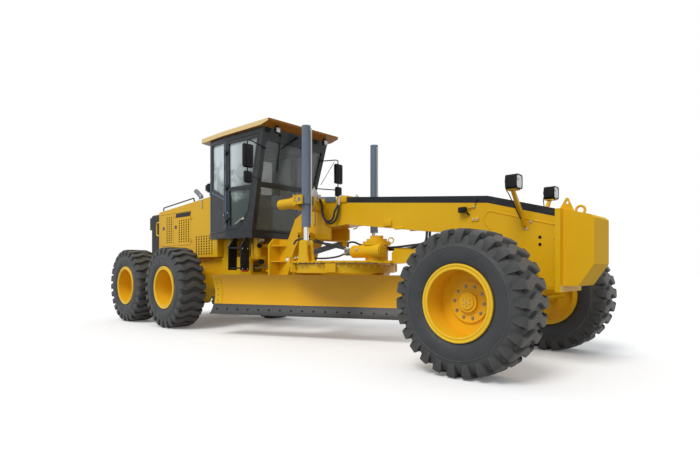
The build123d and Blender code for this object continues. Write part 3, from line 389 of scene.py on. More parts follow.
# ---- Glass ----------------------------------------------------------------------------------
# Tinted safety glass: the side panes carry a painted reflection, pale blue-grey high up that turns to a dark
# green one low down, and the flat front and rear panes, with a fainter painted grey sheen, let the inside of
# the cab be seen.
def window_glass(name, painted_high_reflection, painted_low_reflection, clear, slanted, painted_sheen):
    glass = Finish(name)
    slant = glass.node("LayerWeight", {"Blend": 0.35}, out=1)
    # The glass colour is a painted reflection: on the side panes pale blue-grey high up turns to cloudy dark
    # green low down, and those panes are made more opaque to show it; the front and rear panes show the low
    # tone only, a painted grey sheen, more strongly at a slant.
    height = glass.axis("Z") + (glass.noise(3.4, 6.0, 0.65) - 0.5) * 1.9
    sideways = glass.ramp(glass.axis("Y").maths("ABSOLUTE", glass.axis("Y")), 0.600, 0.680)
    glass.wear(
        Base_Color=glass.blend(glass.ramp(height, 2.05, 2.55) * sideways, painted_low_reflection, painted_high_reflection),
        Roughness=0.04,
        Alpha=glass.ramp(slant, 0.0, 1.0, clear, slanted) + sideways * painted_sheen,
        Coat_Weight=0.3,
    )
    return glass


side_glass = window_glass("side_glass", (0.76, 0.86, 0.88), (0.045, 0.078, 0.070), 0.66, 0.85, 0.10)
dress(side_glass, *[f"cab_door_glass_{side}" for side in sides])
front_glass = window_glass("front_glass", (0.72, 0.82, 0.84), (0.175, 0.215, 0.225), 0.36, 0.75, 0.42)
dress(front_glass, "cab_windows")


def grained(name, scale, detail, tones, roughness, depth, strength, uneven=0.0):
    """Cloth, rubber or moulded plastic: two close tones and a fine grain."""
    finish = Finish(name)
    grain = finish.noise(scale, detail)
    finish.wear(
        Base_Color=finish.blend(grain, *tones),
        Roughness=roughness + grain * uneven if uneven else roughness,
        Normal=finish.bump(grain, depth, strength),
    )
    return finish


seat_cloth = grained("seat_cloth", 300.0, 2.0, ((0.022, 0.024, 0.028), (0.05, 0.053, 0.06)), 0.9, 0.001, 0.6)
dress(seat_cloth, "operator_seat")
trim_plastic = grained("trim_plastic", 420.0, 3.0, ((0.03, 0.032, 0.035), (0.04, 0.042, 0.046)),
                       0.55, 0.0006, 0.5, uneven=0.1)
dress(trim_plastic, "control_console")


# ---- Tyres ----------------------------------------------------------------------------------
# Wide loader tyres of vulcanised rubber: a smooth bulging carcass with a fine line moulded
# round its side and painted pale as a painted highlight, and heavy wavy lugs that run from shoulder to
# shoulder with deep gaps.
tyre_rubber = Finish("tyre_rubber")
tyre_dust = tyre_rubber.ramp(tyre_rubber.noise(7.0, 6.0, 0.7), 0.42, 0.75)
tyre_grain = tyre_rubber.noise(180.0, 3.0)
on_tread = tyre_rubber.node("Attribute", attribute_name="tread", out=2)
rubber_clouds = tyre_rubber.noise(2.0, 3.0)
rubber_tone = tyre_rubber.blend(rubber_clouds, (0.024, 0.027, 0.031), (0.036, 0.039, 0.043))
# The moulded line round the side is painted pale grey as a painted highlight.
moulded_line_painted_highlight = tyre_rubber.ramp(on_tread, 1.2, 2.0)
rubber_tone = tyre_rubber.blend(moulded_line_painted_highlight, rubber_tone, (0.17, 0.185, 0.20))
dust_share = (on_tread < 1.2) * on_tread * (0.35 + tyre_dust * 0.45)
rubber_tone = tyre_rubber.blend(dust_share, rubber_tone, (0.125, 0.114, 0.096))
tyre_rubber.wear(
    Base_Color=rubber_tone,
    Roughness=0.55 + tyre_dust * 0.25,
    Normal=tyre_rubber.bump(tyre_grain, 0.001, 0.5),
)
tyre_low, tyre_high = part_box("tyre_front_right")
tyre_radius = (tyre_high.z - tyre_low.z) / 2
tyre_half = (tyre_high.y - tyre_low.y) / 2
rim_low, rim_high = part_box("rim_front_right")
flange_radius = (rim_high.z - rim_low.z) / 2
lug_count = 26
lug_wave = 0.030
groove_depth = 0.034


def spin_profile(builder, profile, segments):
    """Turns (y, radius) points about the Y axis into a closed ring of quads."""
    rings = []
    for step in range(segments):
        turn = step * math.tau / segments
        rings.append([builder.verts.new((r * math.cos(turn), y, r * math.sin(turn))) for y, r in profile])
    for step in range(segments):
        first, second = rings[step], rings[(step + 1) % segments]
        for index in range(len(profile) - 1):
            builder.faces.new((first[index], first[index + 1], second[index + 1], second[index]))
    return rings


def smooth_mesh(name, builder, sharp_degrees=35):
    """A finished mesh object from a bmesh, shaded smooth except over sharp edges."""
    bmesh.ops.recalc_face_normals(builder, faces=builder.faces)
    mesh = bpy.data.meshes.new(name)
    builder.to_mesh(mesh)
    builder.free()
    mesh.shade_smooth()
    mesh.set_sharp_from_angle(angle=math.radians(sharp_degrees))
    piece = bpy.data.objects.new(name, mesh)
    scene.collection.objects.link(piece)
    return piece


def carcass_profile():
    """Half-section of the tyre without its lugs, from one bead over the crown to the other."""
    crown = tyre_radius - groove_depth
    half = [
        (tyre_half - 0.045, flange_radius - 0.012), (tyre_half - 0.034, flange_radius + 0.010),
        (tyre_half - 0.020, flange_radius + 0.028), (tyre_half - 0.006, flange_radius + 0.062),
        (tyre_half - 0.001, flange_radius + 0.100), (tyre_half - 0.001, flange_radius + 0.135),
        (tyre_half - 0.004, flange_radius + 0.150), (tyre_half - 0.0005, flange_radius + 0.153),
        (tyre_half - 0.004, flange_radius + 0.157), (tyre_half - 0.008, flange_radius + 0.185),
        (tyre_half - 0.018, crown - 0.070), (tyre_half - 0.032, crown - 0.035),
        (tyre_half - 0.060, crown - 0.012), (tyre_half - 0.110, crown - 0.003), (0, crown),
    ]
    inner = [(-y, r) for y, r in reversed(half[:-1])]
    return half + inner


def lug(builder):
    """One wavy lug at the bottom of the wheel, as a strip that follows the crown and shoulders."""
    top = [
        (tyre_half - 0.006, tyre_radius - 0.128), (tyre_half - 0.001, tyre_radius - 0.095),
        (tyre_half - 0.002, tyre_radius - 0.050), (tyre_half - 0.012, tyre_radius - 0.020),
        (tyre_half - 0.026, tyre_radius - 0.007),
    ]
    stations = top + [(tyre_half * share, tyre_radius - 0.007 * share ** 4)
                      for share in (0.78, 0.67, 0.56, 0.45, 0.34, 0.22, 0.11, 0.0)]
    stations = stations + [(-y, r) for y, r in reversed(stations[:-1])]
    sections = []
    for y, r in stations:
        share = y / tyre_half
        wave = lug_wave * math.cos(share * math.pi * 1.5) * (1 - 0.5 * max(0.0, abs(share) - 0.8) / 0.2)
        shoulder = max(0.0, abs(share) - 0.85) / 0.15
        half_width = 0.043 + 0.004 * shoulder
        if r < tyre_radius - 0.09:
            half_width -= 0.012
        outward = 1.0 if y >= 0 else -1.0
        sunk = groove_depth + 0.012
        low_r = r - sunk if abs(share) < 0.9 else r - sunk * 0.7
        low_y = y if abs(share) < 0.9 else y - outward * 0.035
        chamfer = 0.006
        points = []
        for radius, across, along in (
            (low_r, low_y, wave - half_width - 0.010), (r - chamfer, y, wave - half_width),
            (r, y - outward * 0.002, wave - half_width + chamfer),
            (r, y - outward * 0.002, wave + half_width - chamfer),
            (r - chamfer, y, wave + half_width), (low_r, low_y, wave + half_width + 0.010),
        ):
            turn = along / tyre_radius
            points.append(builder.verts.new((radius * math.sin(turn), across, -radius * math.cos(turn))))
        sections.append(points)
    for first, second in zip(sections, sections[1:]):
        for index in range(5):
            builder.faces.new((first[index], first[index + 1], second[index + 1], second[index]))
        builder.faces.new((first[5], first[0], second[0], second[5]))
    builder.faces.new(sections[0])
    builder.faces.new(list(reversed(sections[-1])))


def repeated(name, holder, inputs, finish, wire_up):
    """Geometry Nodes on a holder: wire_up joins copies to its points; they end as one real mesh."""
    tree = bpy.data.node_groups.new(name, "GeometryNodeTree")
    tree.interface.new_socket("Geometry", in_out="INPUT", socket_type="NodeSocketGeometry")
    sizes = {}
    for label, (kind, value) in inputs.items():
        socket = tree.interface.new_socket(label, in_out="INPUT", socket_type="NodeSocket" + kind)
        sizes[socket.identifier] = value
    tree.interface.new_socket("Geometry", in_out="OUTPUT", socket_type="NodeSocketGeometry")
    inside = tree.nodes.new("NodeGroupInput")
    outside = tree.nodes.new("NodeGroupOutput")
    place = tree.nodes.new("GeometryNodeInstanceOnPoints")
    real = tree.nodes.new("GeometryNodeRealizeInstances")
    coat = tree.nodes.new("GeometryNodeSetMaterial")
    coat.inputs["Material"].default_value = finish.material
    ending = [(place.outputs[0], real.inputs[0]), (real.outputs[0], coat.inputs["Geometry"]),
              (coat.outputs[0], outside.inputs[0])]
    for source, target in wire_up(tree, inside.outputs, place.inputs) + ending:
        tree.links.new(source, target)
    modifier = holder.modifiers.new(name, "NODES")
    modifier.node_group = tree
    for key, value in sizes.items():
        modifier[key] = value
    return made_real(name, holder)


def round_the_wheel(tree, inside, place):
    """Joins the copies of a lug, each turned about the Y axis by its share of a turn."""
    points = tree.nodes.new("GeometryNodePoints")
    index = tree.nodes.new("GeometryNodeInputIndex")
    step = tree.nodes.new("ShaderNodeMath")
    step.operation = "DIVIDE"
    step.inputs[0].default_value = math.tau
    turn = tree.nodes.new("ShaderNodeMath")
    turn.operation = "MULTIPLY"
    angle = tree.nodes.new("ShaderNodeCombineXYZ")
    return [(inside["Count"], points.inputs["Count"]), (points.outputs[0], place["Points"]),
            (inside["Geometry"], place["Instance"]), (inside["Count"], step.inputs[1]),
            (index.outputs[0], turn.inputs[0]), (step.outputs[0], turn.inputs[1]),
            (turn.outputs[0], angle.inputs["Y"]), (angle.outputs[0], place["Rotation"])]


def made_real(name, piece):
    """Turns a piece with live modifiers into a plain mesh object and drops the live one."""
    graph = bpy.context.evaluated_depsgraph_get()
    mesh = bpy.data.meshes.new_from_object(piece.evaluated_get(graph))
    mesh.name = name
    plain = bpy.data.objects.new(name, mesh)
    scene.collection.objects.link(plain)
    bpy.data.objects.remove(piece)
    return plain


def join(name, *pieces):
    """One object from several, in the first one's place."""
    bpy.ops.object.select_all(action="DESELECT")
    for piece in pieces:
        piece.select_set(True)
    bpy.context.view_layer.objects.active = pieces[0]
    bpy.ops.object.join()
    pieces[0].name = name
    return pieces[0]


carcass_builder = bmesh.new()
spin_profile(carcass_builder, carcass_profile(), 128)
tyre_carcass = smooth_mesh("tyre_carcass", carcass_builder, 60)
tyre_carcass.data.materials.append(tyre_rubber.material)
lug_builder = bmesh.new()
lug(lug_builder)
lug_ring = repeated("lug_ring", smooth_mesh("lug", lug_builder, 32), {"Count": ("Int", lug_count)},
                    tyre_rubber, round_the_wheel)
tyre_pattern = join("tyre_pattern", tyre_carcass, lug_ring)
line_radius = flange_radius + 0.153


def tread_mark(point):
    """1 on the faces that meet the ground, 2 on the fine line round the side, less for splash dust."""
    radius = math.hypot(point.x, point.z)
    if abs(radius - line_radius) < 0.001 and abs(point.y) > tyre_half - 0.01:
        return 2.0
    if radius > tyre_radius - 0.010:
        return 1.0
    return 0.38 if radius > line_radius + 0.004 else 0.0


worn = tyre_pattern.data.attributes.new("tread", "FLOAT", "POINT")
worn.data.foreach_set("value", [tread_mark(point.co) for point in tyre_pattern.data.vertices])
tyre_turn = 0.06
for wheel in wheels:
    low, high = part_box(f"tyre_{wheel}")
    mesh = tyre_pattern.data.copy()
    mesh.transform(Matrix.Translation((low + high) / 2) @ Matrix.Rotation(tyre_turn, 4, "Y"))
    tyre = bpy.data.objects.new(f"treaded_tyre_{wheel}", mesh)
    scene.collection.objects.link(tyre)
    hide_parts(f"tyre_{wheel}")
    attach(tyre, f"wheel_{wheel}")
bpy.data.objects.remove(tyre_pattern)


# ---- Wheel hubs and rim rings ---------------------------------------------------------------
# Each front hub is a cast cap held by small screws inside a ring of ten wheel bolts, and each
# rim has a loose flange ring and a lock ring rolled from steel, painted with the wheel.
class Part:
    """A piece drawn as for the left side; an out of -1 turns all its points over to the right."""

    def __init__(self, out=1):
        self.builder = bmesh.new()
        self.out = out

    def at(self, point):
        return Vector((point[0], point[1] * self.out, point[2]))

    def stitch(self, first, second):
        """Faces between two closed rings of points."""
        for index in range(len(first)):
            after = (index + 1) % len(first)
            self.builder.faces.new((first[index], first[after], second[after], second[index]))

    def skin(self, rings, closed=False):
        """Faces over a row of rings, which meets its own start or is shut by a face at each end."""
        for first, second in zip(rings, rings[1:] + rings[:1] if closed else rings[1:]):
            self.stitch(first, second)
        if not closed:
            self.builder.faces.new(rings[0])
            self.builder.faces.new(list(reversed(rings[-1])))

    def ring(self, centre, side, other, radius, segments):
        turns = [step * math.tau / segments for step in range(segments)]
        return [self.builder.verts.new(centre + (side * math.cos(turn) + other * math.sin(turn)) * radius)
                for turn in turns]

    def turned(self, foot, along, profile, segments=24, closed=False):
        """A solid turned about a line, from rows of a distance along it and a radius from it."""
        axis = self.at(along).normalized()
        side = axis.orthogonal().normalized()
        other = axis.cross(side)
        self.skin([self.ring(self.at(foot) + axis * distance, side, other, radius, segments)
                   for distance, radius in profile], closed)

    def hoop(self, centre, along, profile, segments=96):
        """A hoop whose section is a closed line of distances and radii."""
        self.turned(centre, along, profile, segments, closed=True)

    def block(self, first, second, softness=0.004):
        """A block between two opposite corners with rounded edges."""
        corners = list(zip(self.at(first), self.at(second)))
        low, high = Vector(map(min, corners)), Vector(map(max, corners))
        known = set(self.builder.verts)
        bmesh.ops.create_cube(self.builder, size=1.0)
        fresh = [point for point in self.builder.verts if point not in known]
        for point in fresh:
            point.co = point.co * (high - low) + (low + high) / 2
        edges = list({edge for point in fresh for edge in point.link_edges})
        bmesh.ops.bevel(self.builder, geom=edges, offset=softness, segments=2, profile=0.5, affect="EDGES")

    def plate(self, outline, push):
        """A flat plate from its outline, given its thickness along a vector."""
        self.skin([[self.builder.verts.new(self.at(point) + shift) for point in outline]
                   for shift in (Vector(), self.at(push))])

    def tube(self, points, radius, segments=10, steps=6):
        """A round tube or hose along a smooth curve, closed at its ends."""
        path = smooth_path([self.at(point) for point in points], steps)
        side = (path[1] - path[0]).orthogonal().normalized()
        rings = []
        for index, spot in enumerate(path):
            forward = (path[min(index + 1, len(path) - 1)] - path[max(index - 1, 0)]).normalized()
            side = (side - forward * side.dot(forward)).normalized()
            rings.append(self.ring(spot, side, forward.cross(side), radius, segments))
        self.skin(rings)

    def shape(self, name, sharp_degrees=35):
        return smooth_mesh(name, self.builder, sharp_degrees)

    def made(self, name, finish, body, sharp_degrees=35):
        return fitted(name, self.shape(name, sharp_degrees), finish, body)


def smooth_path(spots, steps):
    """Points close together along a smooth curve through a few given ones."""
    spots = [spots[0] * 2 - spots[1]] + spots + [spots[-1] * 2 - spots[-2]]
    path = []
    for a, b, c, d in zip(spots, spots[1:], spots[2:], spots[3:]):
        for step in range(steps):
            t = step / steps
            path.append(0.5 * ((2 * b) + (c - a) * t + (2 * a - 5 * b + 4 * c - d) * t ** 2
                               + (3 * b - a - 3 * c + d) * t ** 3))
    path.append(spots[-2])
    return path


def fitted(name, piece, finish, body):
    """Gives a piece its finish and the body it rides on."""
    piece.name = name
    piece.data.name = name
    piece.data.materials.clear()
    piece.data.materials.append(finish.material)
    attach(piece, body)
    return piece


def fastener(name, radius, corners=6):
    """A bolt head on its washer, standing on the Z axis."""
    bolt = Part()
    bolt.turned((0, 0, -0.002), (0, 0, 1), [(0, radius * 1.3), (0.002 + radius * 0.22, radius * 1.3)], 12)
    head = [(radius * 0.2, radius), (radius * 0.75, radius), (radius * 0.9, radius * 0.8)]
    bolt.turned((0, 0, 0), (0, 0, 1), head, corners)
    return bolt.shape(name, 30)


def on_places(tree, inside, place):
    """Joins copies of a fastener, each turned to its own place's direction."""
    shape = tree.nodes.new("GeometryNodeObjectInfo")
    way = tree.nodes.new("GeometryNodeInputNamedAttribute")
    way.data_type = "FLOAT_VECTOR"
    way.inputs["Name"].default_value = "facing"
    turn = tree.nodes.new("FunctionNodeAlignRotationToVector")
    turn.axis = "Z"
    return [(inside["Geometry"], place["Points"]), (inside["Fastener"], shape.inputs["Object"]),
            (shape.outputs["Geometry"], place["Instance"]), (way.outputs[0], turn.inputs["Vector"]),
            (turn.outputs[0], place["Rotation"])]


def spread_copies(name, piece, places, finish, body, out=1):
    """Stands a copy of a piece on every place, along that place's direction."""
    spots = bpy.data.meshes.new(name + "_places")
    spots.from_pydata([(x, y * out, z) for (x, y, z), _ in places], [], [])
    facing_ways = spots.attributes.new("facing", "FLOAT_VECTOR", "POINT")
    ways = [Vector((x, y * out, z)).normalized() for _, (x, y, z) in places]
    facing_ways.data.foreach_set("vector", [part for way in ways for part in way])
    holder = bpy.data.objects.new(name, spots)
    scene.collection.objects.link(holder)
    copies = repeated(name, holder, {"Fastener": ("Object", piece)}, finish, on_places)
    bpy.data.objects.remove(piece)
    return fitted(name, copies, finish, body)


def ring_of_places(centre, along, radius, count, start=0.0):
    """Places round a circle about a line, all pointing along it."""
    axis = Vector(along).normalized()
    side = Vector((0, 0, 1)) if abs(axis.z) < 0.9 else Vector((1, 0, 0))
    other = axis.cross(side)
    angles = [start + step * math.tau / count for step in range(count)]
    return [(Vector(centre) + (side * math.cos(a) + other * math.sin(a)) * radius, axis) for a in angles]


signs = {"right": -1, "left": 1}
rim_face_paint = sprayed("rim_face_yellow", (0.95, 0.66, 0.055), (0.92, 0.61, 0.045), roughness=0.40)
hub_face = 1.000
cap_face = 1.032
front_wheel = Vector((3.4425, 0, 0.675))
for side, out in signs.items():
    outward = Vector((0, out, 0))
    hub = front_wheel + outward * hub_face
    cap = front_wheel + outward * cap_face
    bolt_places = ring_of_places(hub, outward, 0.150, 10, 0.25)
    spread_copies(f"wheel_bolts_{side}", fastener("wheel_bolt", 0.0125), bolt_places, dull_zinc,
                  f"wheel_front_{side}")
    cover = Part()
    cover.turned(cap, outward,
                 [(-0.001, 0.066), (0.012, 0.066), (0.014, 0.063), (0.013, 0.052), (0.0155, 0.050),
                  (0.0155, 0.030), (0.018, 0.028), (0.018, 0.016)], 48)
    cover.hoop(hub, outward, [(-0.002, 0.112), (0.003, 0.113), (0.003, 0.118), (-0.002, 0.119)], 64)
    cover.made(f"hub_cap_{side}", rim_paint, f"wheel_front_{side}")
    nipple = Part()
    nipple.turned(cap + outward * 0.017, outward,
                  [(0, 0.010), (0.006, 0.010), (0.007, 0.006), (0.016, 0.005), (0.019, 0.003)], 12)
    nipple.made(f"grease_nipple_{side}", zinc, f"wheel_front_{side}")
    screw_places = ring_of_places(cap + outward * 0.0155, outward, 0.038, 6)
    spread_copies(f"cap_screws_{side}", fastener("cap_screw", 0.0045), screw_places, dull_zinc,
                  f"wheel_front_{side}")
flange_ring = [(-0.003, 0.336), (0.004, 0.338), (0.006, 0.343), (0.004, 0.350), (-0.003, 0.352)]
lock_ring = [(-0.003, 0.306), (0.003, 0.307), (0.004, 0.311), (0.003, 0.318), (-0.003, 0.320)]
for wheel in wheels:
    low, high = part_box(f"rim_{wheel}")
    outward = Vector((0, -1 if wheel.endswith("right") else 1, 0))
    centre = Vector(((low.x + high.x) / 2, low.y if outward.y < 0 else high.y, (low.z + high.z) / 2))
    rings = Part()
    for section in (flange_ring, lock_ring):
        rings.hoop(centre, outward, section)
    rings.made(f"rim_rings_{wheel}", rim_face_paint, f"wheel_{wheel}", 50)


# ---- Front beam fittings --------------------------------------------------------------------
# Doubler plates, a clamp band and small brackets welded or bolted to the beam's sides, with a
# small black side lamp on a stud and its wire running up into the beam.
hose_rubber = grained("hose_rubber", 150.0, 3.0, ((0.010, 0.011, 0.013), (0.022, 0.023, 0.026)),
                      0.42, 0.0008, 0.4, uneven=0.15)
beam_side = 0.175


def along_beam(points, lift=0.0):
    """Points given along and above, on the beam's side or lifted off it."""
    return [(x, beam_side + lift, z) for x, z in points]


for side, out in signs.items():
    plate = Part(out)
    rear_outline = along_beam([(0.500, 2.034), (0.894, 1.998), (0.894, 1.925), (0.560, 1.955)], 0.004)
    plate.plate(rear_outline, (0, 0.012, 0))
    plate.made(f"beam_rear_plate_{side}", slate_paint, "front_frame")
    nose = Part(out)
    nose.plate(along_beam([(3.240, 1.400), (3.178, 1.483), (3.166, 1.520), (3.172, 1.556), (3.190, 1.585),
                           (3.215, 1.600), (3.250, 1.604), (3.955, 1.408), (3.955, 0.800), (3.855, 0.800),
                           (3.700, 1.035), (3.330, 1.035), (3.270, 1.200)]), (0, 0.005, 0))
    nose.tube(along_beam([(3.232, 1.412), (3.180, 1.483), (3.168, 1.520), (3.174, 1.556), (3.192, 1.583),
                          (3.217, 1.598), (3.252, 1.601), (3.600, 1.503), (3.955, 1.406)], 0.005), 0.006)
    nose.block((1.765, beam_side, 1.528), (1.892, beam_side + 0.022, 1.606))
    nose.block((1.935, beam_side - 0.03, 1.478), (2.078, beam_side + 0.014, 1.506))
    nose.block((3.010, beam_side, 1.505), (3.105, beam_side + 0.008, 1.556))
    nose.made(f"beam_side_plates_{side}", yellow_paint, "front_frame")
    plugs = Part(out)
    for z in (1.300, 1.227):
        plugs.turned((3.772, beam_side + 0.004, z), (0, 1, 0),
                     [(0, 0.017), (0.0025, 0.017), (0.0030, 0.015), (0.0018, 0.013), (0.0018, 0.006)], 24)
    plugs.made(f"beam_hole_plugs_{side}", black_paint, "front_frame")
    lamp = Part(out)
    lamp.block((2.872, beam_side + 0.020, 1.607), (2.972, beam_side + 0.070, 1.672), 0.014)
    lamp.block((2.884, beam_side + 0.066, 1.619), (2.960, beam_side + 0.076, 1.660))
    lamp.tube(along_beam([(2.965, 1.612), (2.975, 1.598), (2.984, 1.585)], 0.020), 0.010)
    lamp.tube([(2.985, beam_side + 0.024, 1.588), (2.985, beam_side - 0.004, 1.582)], 0.007)
    lamp.tube(along_beam([(2.965, 1.650), (3.010, 1.655), (3.046, 1.668), (3.066, 1.705), (3.080, 1.744)],
                         0.012), 0.0035, 8)
    lamp.tube([(3.080, beam_side + 0.013, 1.744), (3.084, beam_side - 0.004, 1.748)], 0.006, 8)
    lamp.made(f"side_lamp_{side}", black_paint, "front_frame")
    wire_plug = Part(out)
    wire_plug.turned((3.036, beam_side + 0.012, 1.661), (0.8, 0, 0.45),
                     [(0, 0.006), (0.002, 0.009), (0.022, 0.009), (0.024, 0.006)], 12)
    wire_plug.made(f"wire_plug_{side}", pale_cast, "front_frame")
    bolt_spots = ((3.036, 1.530), (3.078, 1.532), (3.605, 1.470), (3.682, 1.462), (3.640, 1.392))
    beam_bolts = [(spot, (0, 1, 0)) for spot in along_beam(bolt_spots, 0.008)]
    beam_bolts += [((3.9625, 0.283, z), (-1, 0, 0)) for z in (0.86, 0.99, 1.13, 1.27, 1.41)]
    beam_bolts += [((x, 0.120, 1.995), (0, 0, 1)) for x in (0.955, 1.060)]
    spread_copies(f"beam_bolts_{side}", fastener("beam_bolt", 0.0105), beam_bolts, zinc, "front_frame",
                  out)
clamp = Part()
clamp.block((0.915, -0.196, 1.905), (1.105, 0.196, 1.995), 0.008)
clamp.made("beam_clamp_band", yellow_paint, "front_frame")


# ---- Head lamps -----------------------------------------------------------------------------
# A bright pressed reflector with an amber bulb behind a bulged clear lens, held by a black
# rubber bezel in each plastic lamp shell.
lamp_lens = Finish("lamp_lens")
lens_across = lamp_lens.axis("Y") * 420.0
lens_flutes = lens_across.maths("SINE", lens_across)
lamp_lens.wear(Base_Color=(0.80, 0.84, 0.86), Roughness=0.08, Alpha=0.30, Coat_Weight=0.5,
               Normal=lamp_lens.bump(lens_flutes, 0.001, 0.3))
reflector_bright = metal("reflector_bright", (0.86, 0.88, 0.90), 0.10)
amber_glass = Finish("amber_glass")
amber_tone = amber_glass.blend(amber_glass.noise(60.0), (0.80, 0.36, 0.04), (0.90, 0.50, 0.08))
amber_glass.wear(Base_Color=amber_tone, Roughness=0.2, Coat_Weight=0.6)
lamp_middle = Vector((3.6765, 0.480, 1.829))


def from_lamp(*offset):
    return lamp_middle + Vector(offset)


def square_shell(piece, profile, closed=False, steps=6):
    """A shell of rounded squares facing forwards, each of a half-width, a corner and a depth."""
    rings = []
    for half, corner, depth in profile:
        ring = []
        for cx, cz, start in ((1, 1, 0), (-1, 1, 1), (-1, -1, 2), (1, -1, 3)):
            for step in range(steps + 1):
                angle = (start + step / steps) * math.pi / 2
                y = cx * (half - corner) + corner * math.cos(angle)
                z = cz * (half - corner) + corner * math.sin(angle)
                ring.append(piece.builder.verts.new(piece.at(from_lamp(depth, y, z))))
        rings.append(ring)
    piece.skin(rings, closed)


for side, out in signs.items():
    bezel = Part(out)
    square_shell(bezel, [(0.071, 0.030, -0.004), (0.072, 0.030, 0.014), (0.069, 0.029, 0.019),
                         (0.062, 0.027, 0.019), (0.060, 0.026, 0.014), (0.060, 0.026, -0.004)], closed=True)
    bezel.made(f"lamp_bezel_{side}", black_paint, "front_frame")
    dish = Part(out)
    square_shell(dish, [(0.061, 0.026, -0.003), (0.061, 0.026, 0.012), (0.045, 0.024, 0.005),
                        (0.022, 0.018, 0.002)])
    dish.made(f"lamp_reflector_{side}", reflector_bright, "front_frame")
    bulb = Part(out)
    bulb.turned(from_lamp(0.001, -0.006 * out, 0.024), (1, 0, 0),
                [(0, 0.012), (0.004, 0.014), (0.010, 0.012), (0.013, 0.006)], 16)
    bulb.made(f"lamp_bulb_{side}", amber_glass, "front_frame")
    lens = Part(out)
    square_shell(lens, [(0.0605, 0.026, 0.013), (0.058, 0.026, 0.018), (0.045, 0.024, 0.023),
                        (0.025, 0.018, 0.025), (0.010, 0.008, 0.0255)])
    lens.made(f"lamp_lens_{side}", lamp_lens, "front_frame")
    stalk = Part(out)
    stalk.turned(from_lamp(-0.100, 0, 0.010), (-1, 0, 0),
                 [(-0.004, 0.042), (0.010, 0.042), (0.018, 0.036), (0.024, 0.020)], 24)
    stalk.tube([from_lamp(-0.115, 0, -0.010), from_lamp(-0.125, -0.01, -0.060),
                from_lamp(-0.110, -0.04, -0.105), from_lamp(-0.075, -0.10, -0.230),
                from_lamp(-0.060, -0.20, -0.340)], 0.005, 8)
    stalk.made(f"lamp_back_and_wire_{side}", black_paint, "front_frame")


# ---- Hood door fittings ---------------------------------------------------------------------
# Each vented hood door carries a blank black name plate and two flush latches; a pale grab
# bar is riveted to the fixed skin beside the cab and small rivets hold the skin to its frame.
hood_side = 0.580
for side, out in signs.items():
    name_plate = Part(out)
    name_outline = [(-2.985, 1.948), (-2.958, 2.026), (-2.412, 2.026), (-2.439, 1.948)]
    name_plate.plate([(x, hood_side, z) for x, z in name_outline], (0, 0.003, 0))
    inner_outline = [(-2.974, 1.954), (-2.951, 2.020), (-2.423, 2.020), (-2.446, 1.954)]
    name_plate.plate([(x, hood_side + 0.003, z) for x, z in inner_outline], (0, 0.0015, 0))
    name_plate.made(f"blank_name_plate_{side}", black_paint, f"hood_door_{side}")
    latch = Part(out)
    keys = Part(out)
    for x in (-3.464, -2.976):
        latch.block((x - 0.034, hood_side - 0.002, 1.742), (x + 0.034, hood_side + 0.006, 1.802), 0.005)
        keys.block((x - 0.022, hood_side + 0.005, 1.752), (x + 0.022, hood_side + 0.009, 1.780))
        keys.turned((x, hood_side + 0.005, 1.790), (0, 1, 0),
                    [(0, 0.007), (0.005, 0.007), (0.006, 0.005), (0.005, 0.003)], 16)
    latch.made(f"door_latches_{side}", black_paint, f"hood_door_{side}")
    keys.made(f"latch_handles_{side}", slate_paint, f"hood_door_{side}")
    grab_bar = Part(out)
    grab_bar.tube([(-2.008, hood_side - 0.004, 2.046), (-2.008, hood_side + 0.012, 2.050),
                   (-2.008, hood_side + 0.016, 2.066), (-2.008, hood_side + 0.016, 2.176),
                   (-2.008, hood_side + 0.012, 2.192), (-2.008, hood_side - 0.004, 2.196)], 0.009)
    grab_bar.made(f"hood_grab_bar_{side}", pale_cast, "rear_frame")
    rivet_places = [((x, hood_side, 2.105), (0, 1, 0)) for x in [-3.55 + 0.145 * step for step in range(14)]]
    rivet_places += [((-2.335, hood_side, z), (0, 1, 0)) for z in (1.45, 1.60, 1.75, 1.90, 2.05)]
    spread_copies(f"hood_rivets_{side}", fastener("hood_rivet", 0.006, 8), rivet_places, yellow_paint,
                  "rear_frame", out)


# ---- Cab fittings ---------------------------------------------------------------------------
# Two square work lamps hang under the front of the roof, a two-arm wiper hangs from the header
# over the windscreen, and the headlining inside carries two round speakers.
lamp_white = Finish("work_lamp_white")
lamp_cells = lamp_white.node("TexVoronoi", {"Vector": lamp_white.place, "Scale": 55.0})
lamp_white.wear(
    Base_Color=lamp_white.blend(lamp_cells, (0.80, 0.82, 0.84), (0.62, 0.65, 0.68)),
    Roughness=0.15,
    Normal=lamp_white.bump(lamp_cells, 0.002, 0.5),
)
lining_cloth = grained("headlining", 220.0, 2.0, ((0.20, 0.205, 0.205), (0.26, 0.265, 0.265)),
                       0.9, 0.0008, 0.4)
red_glass = Finish("red_reflector")
red_cells = red_glass.noise(120.0, 1.0)
red_tone = red_glass.blend(red_cells, (0.42, 0.030, 0.022), (0.55, 0.05, 0.035))
red_glass.wear(Base_Color=red_tone, Roughness=0.2)
rubber_seal = grained("seal_rubber", 90.0, 2.0, ((0.008, 0.008, 0.009), (0.016, 0.016, 0.018)),
                      0.55, 0.0006, 0.4)
for side, out in signs.items():
    shell = Part(out)
    shell.block((-0.055, 0.450, 3.006), (-0.002, 0.530, 3.088), 0.010)
    shell.block((-0.050, 0.470, 3.080), (-0.010, 0.510, 3.112))
    shell.made(f"work_lamp_{side}", black_paint, "rear_frame")
    face = Part(out)
    face.block((-0.010, 0.457, 3.013), (0.004, 0.523, 3.081), 0.006)
    face.made(f"work_lamp_lens_{side}", lamp_white, "rear_frame")
wiper = Part()
wiper.tube([(-0.150, -0.331, 3.030), (-0.190, -0.312, 2.925), (-0.222, -0.290, 2.816),
            (-0.258, -0.283, 2.695)], 0.005, 8)
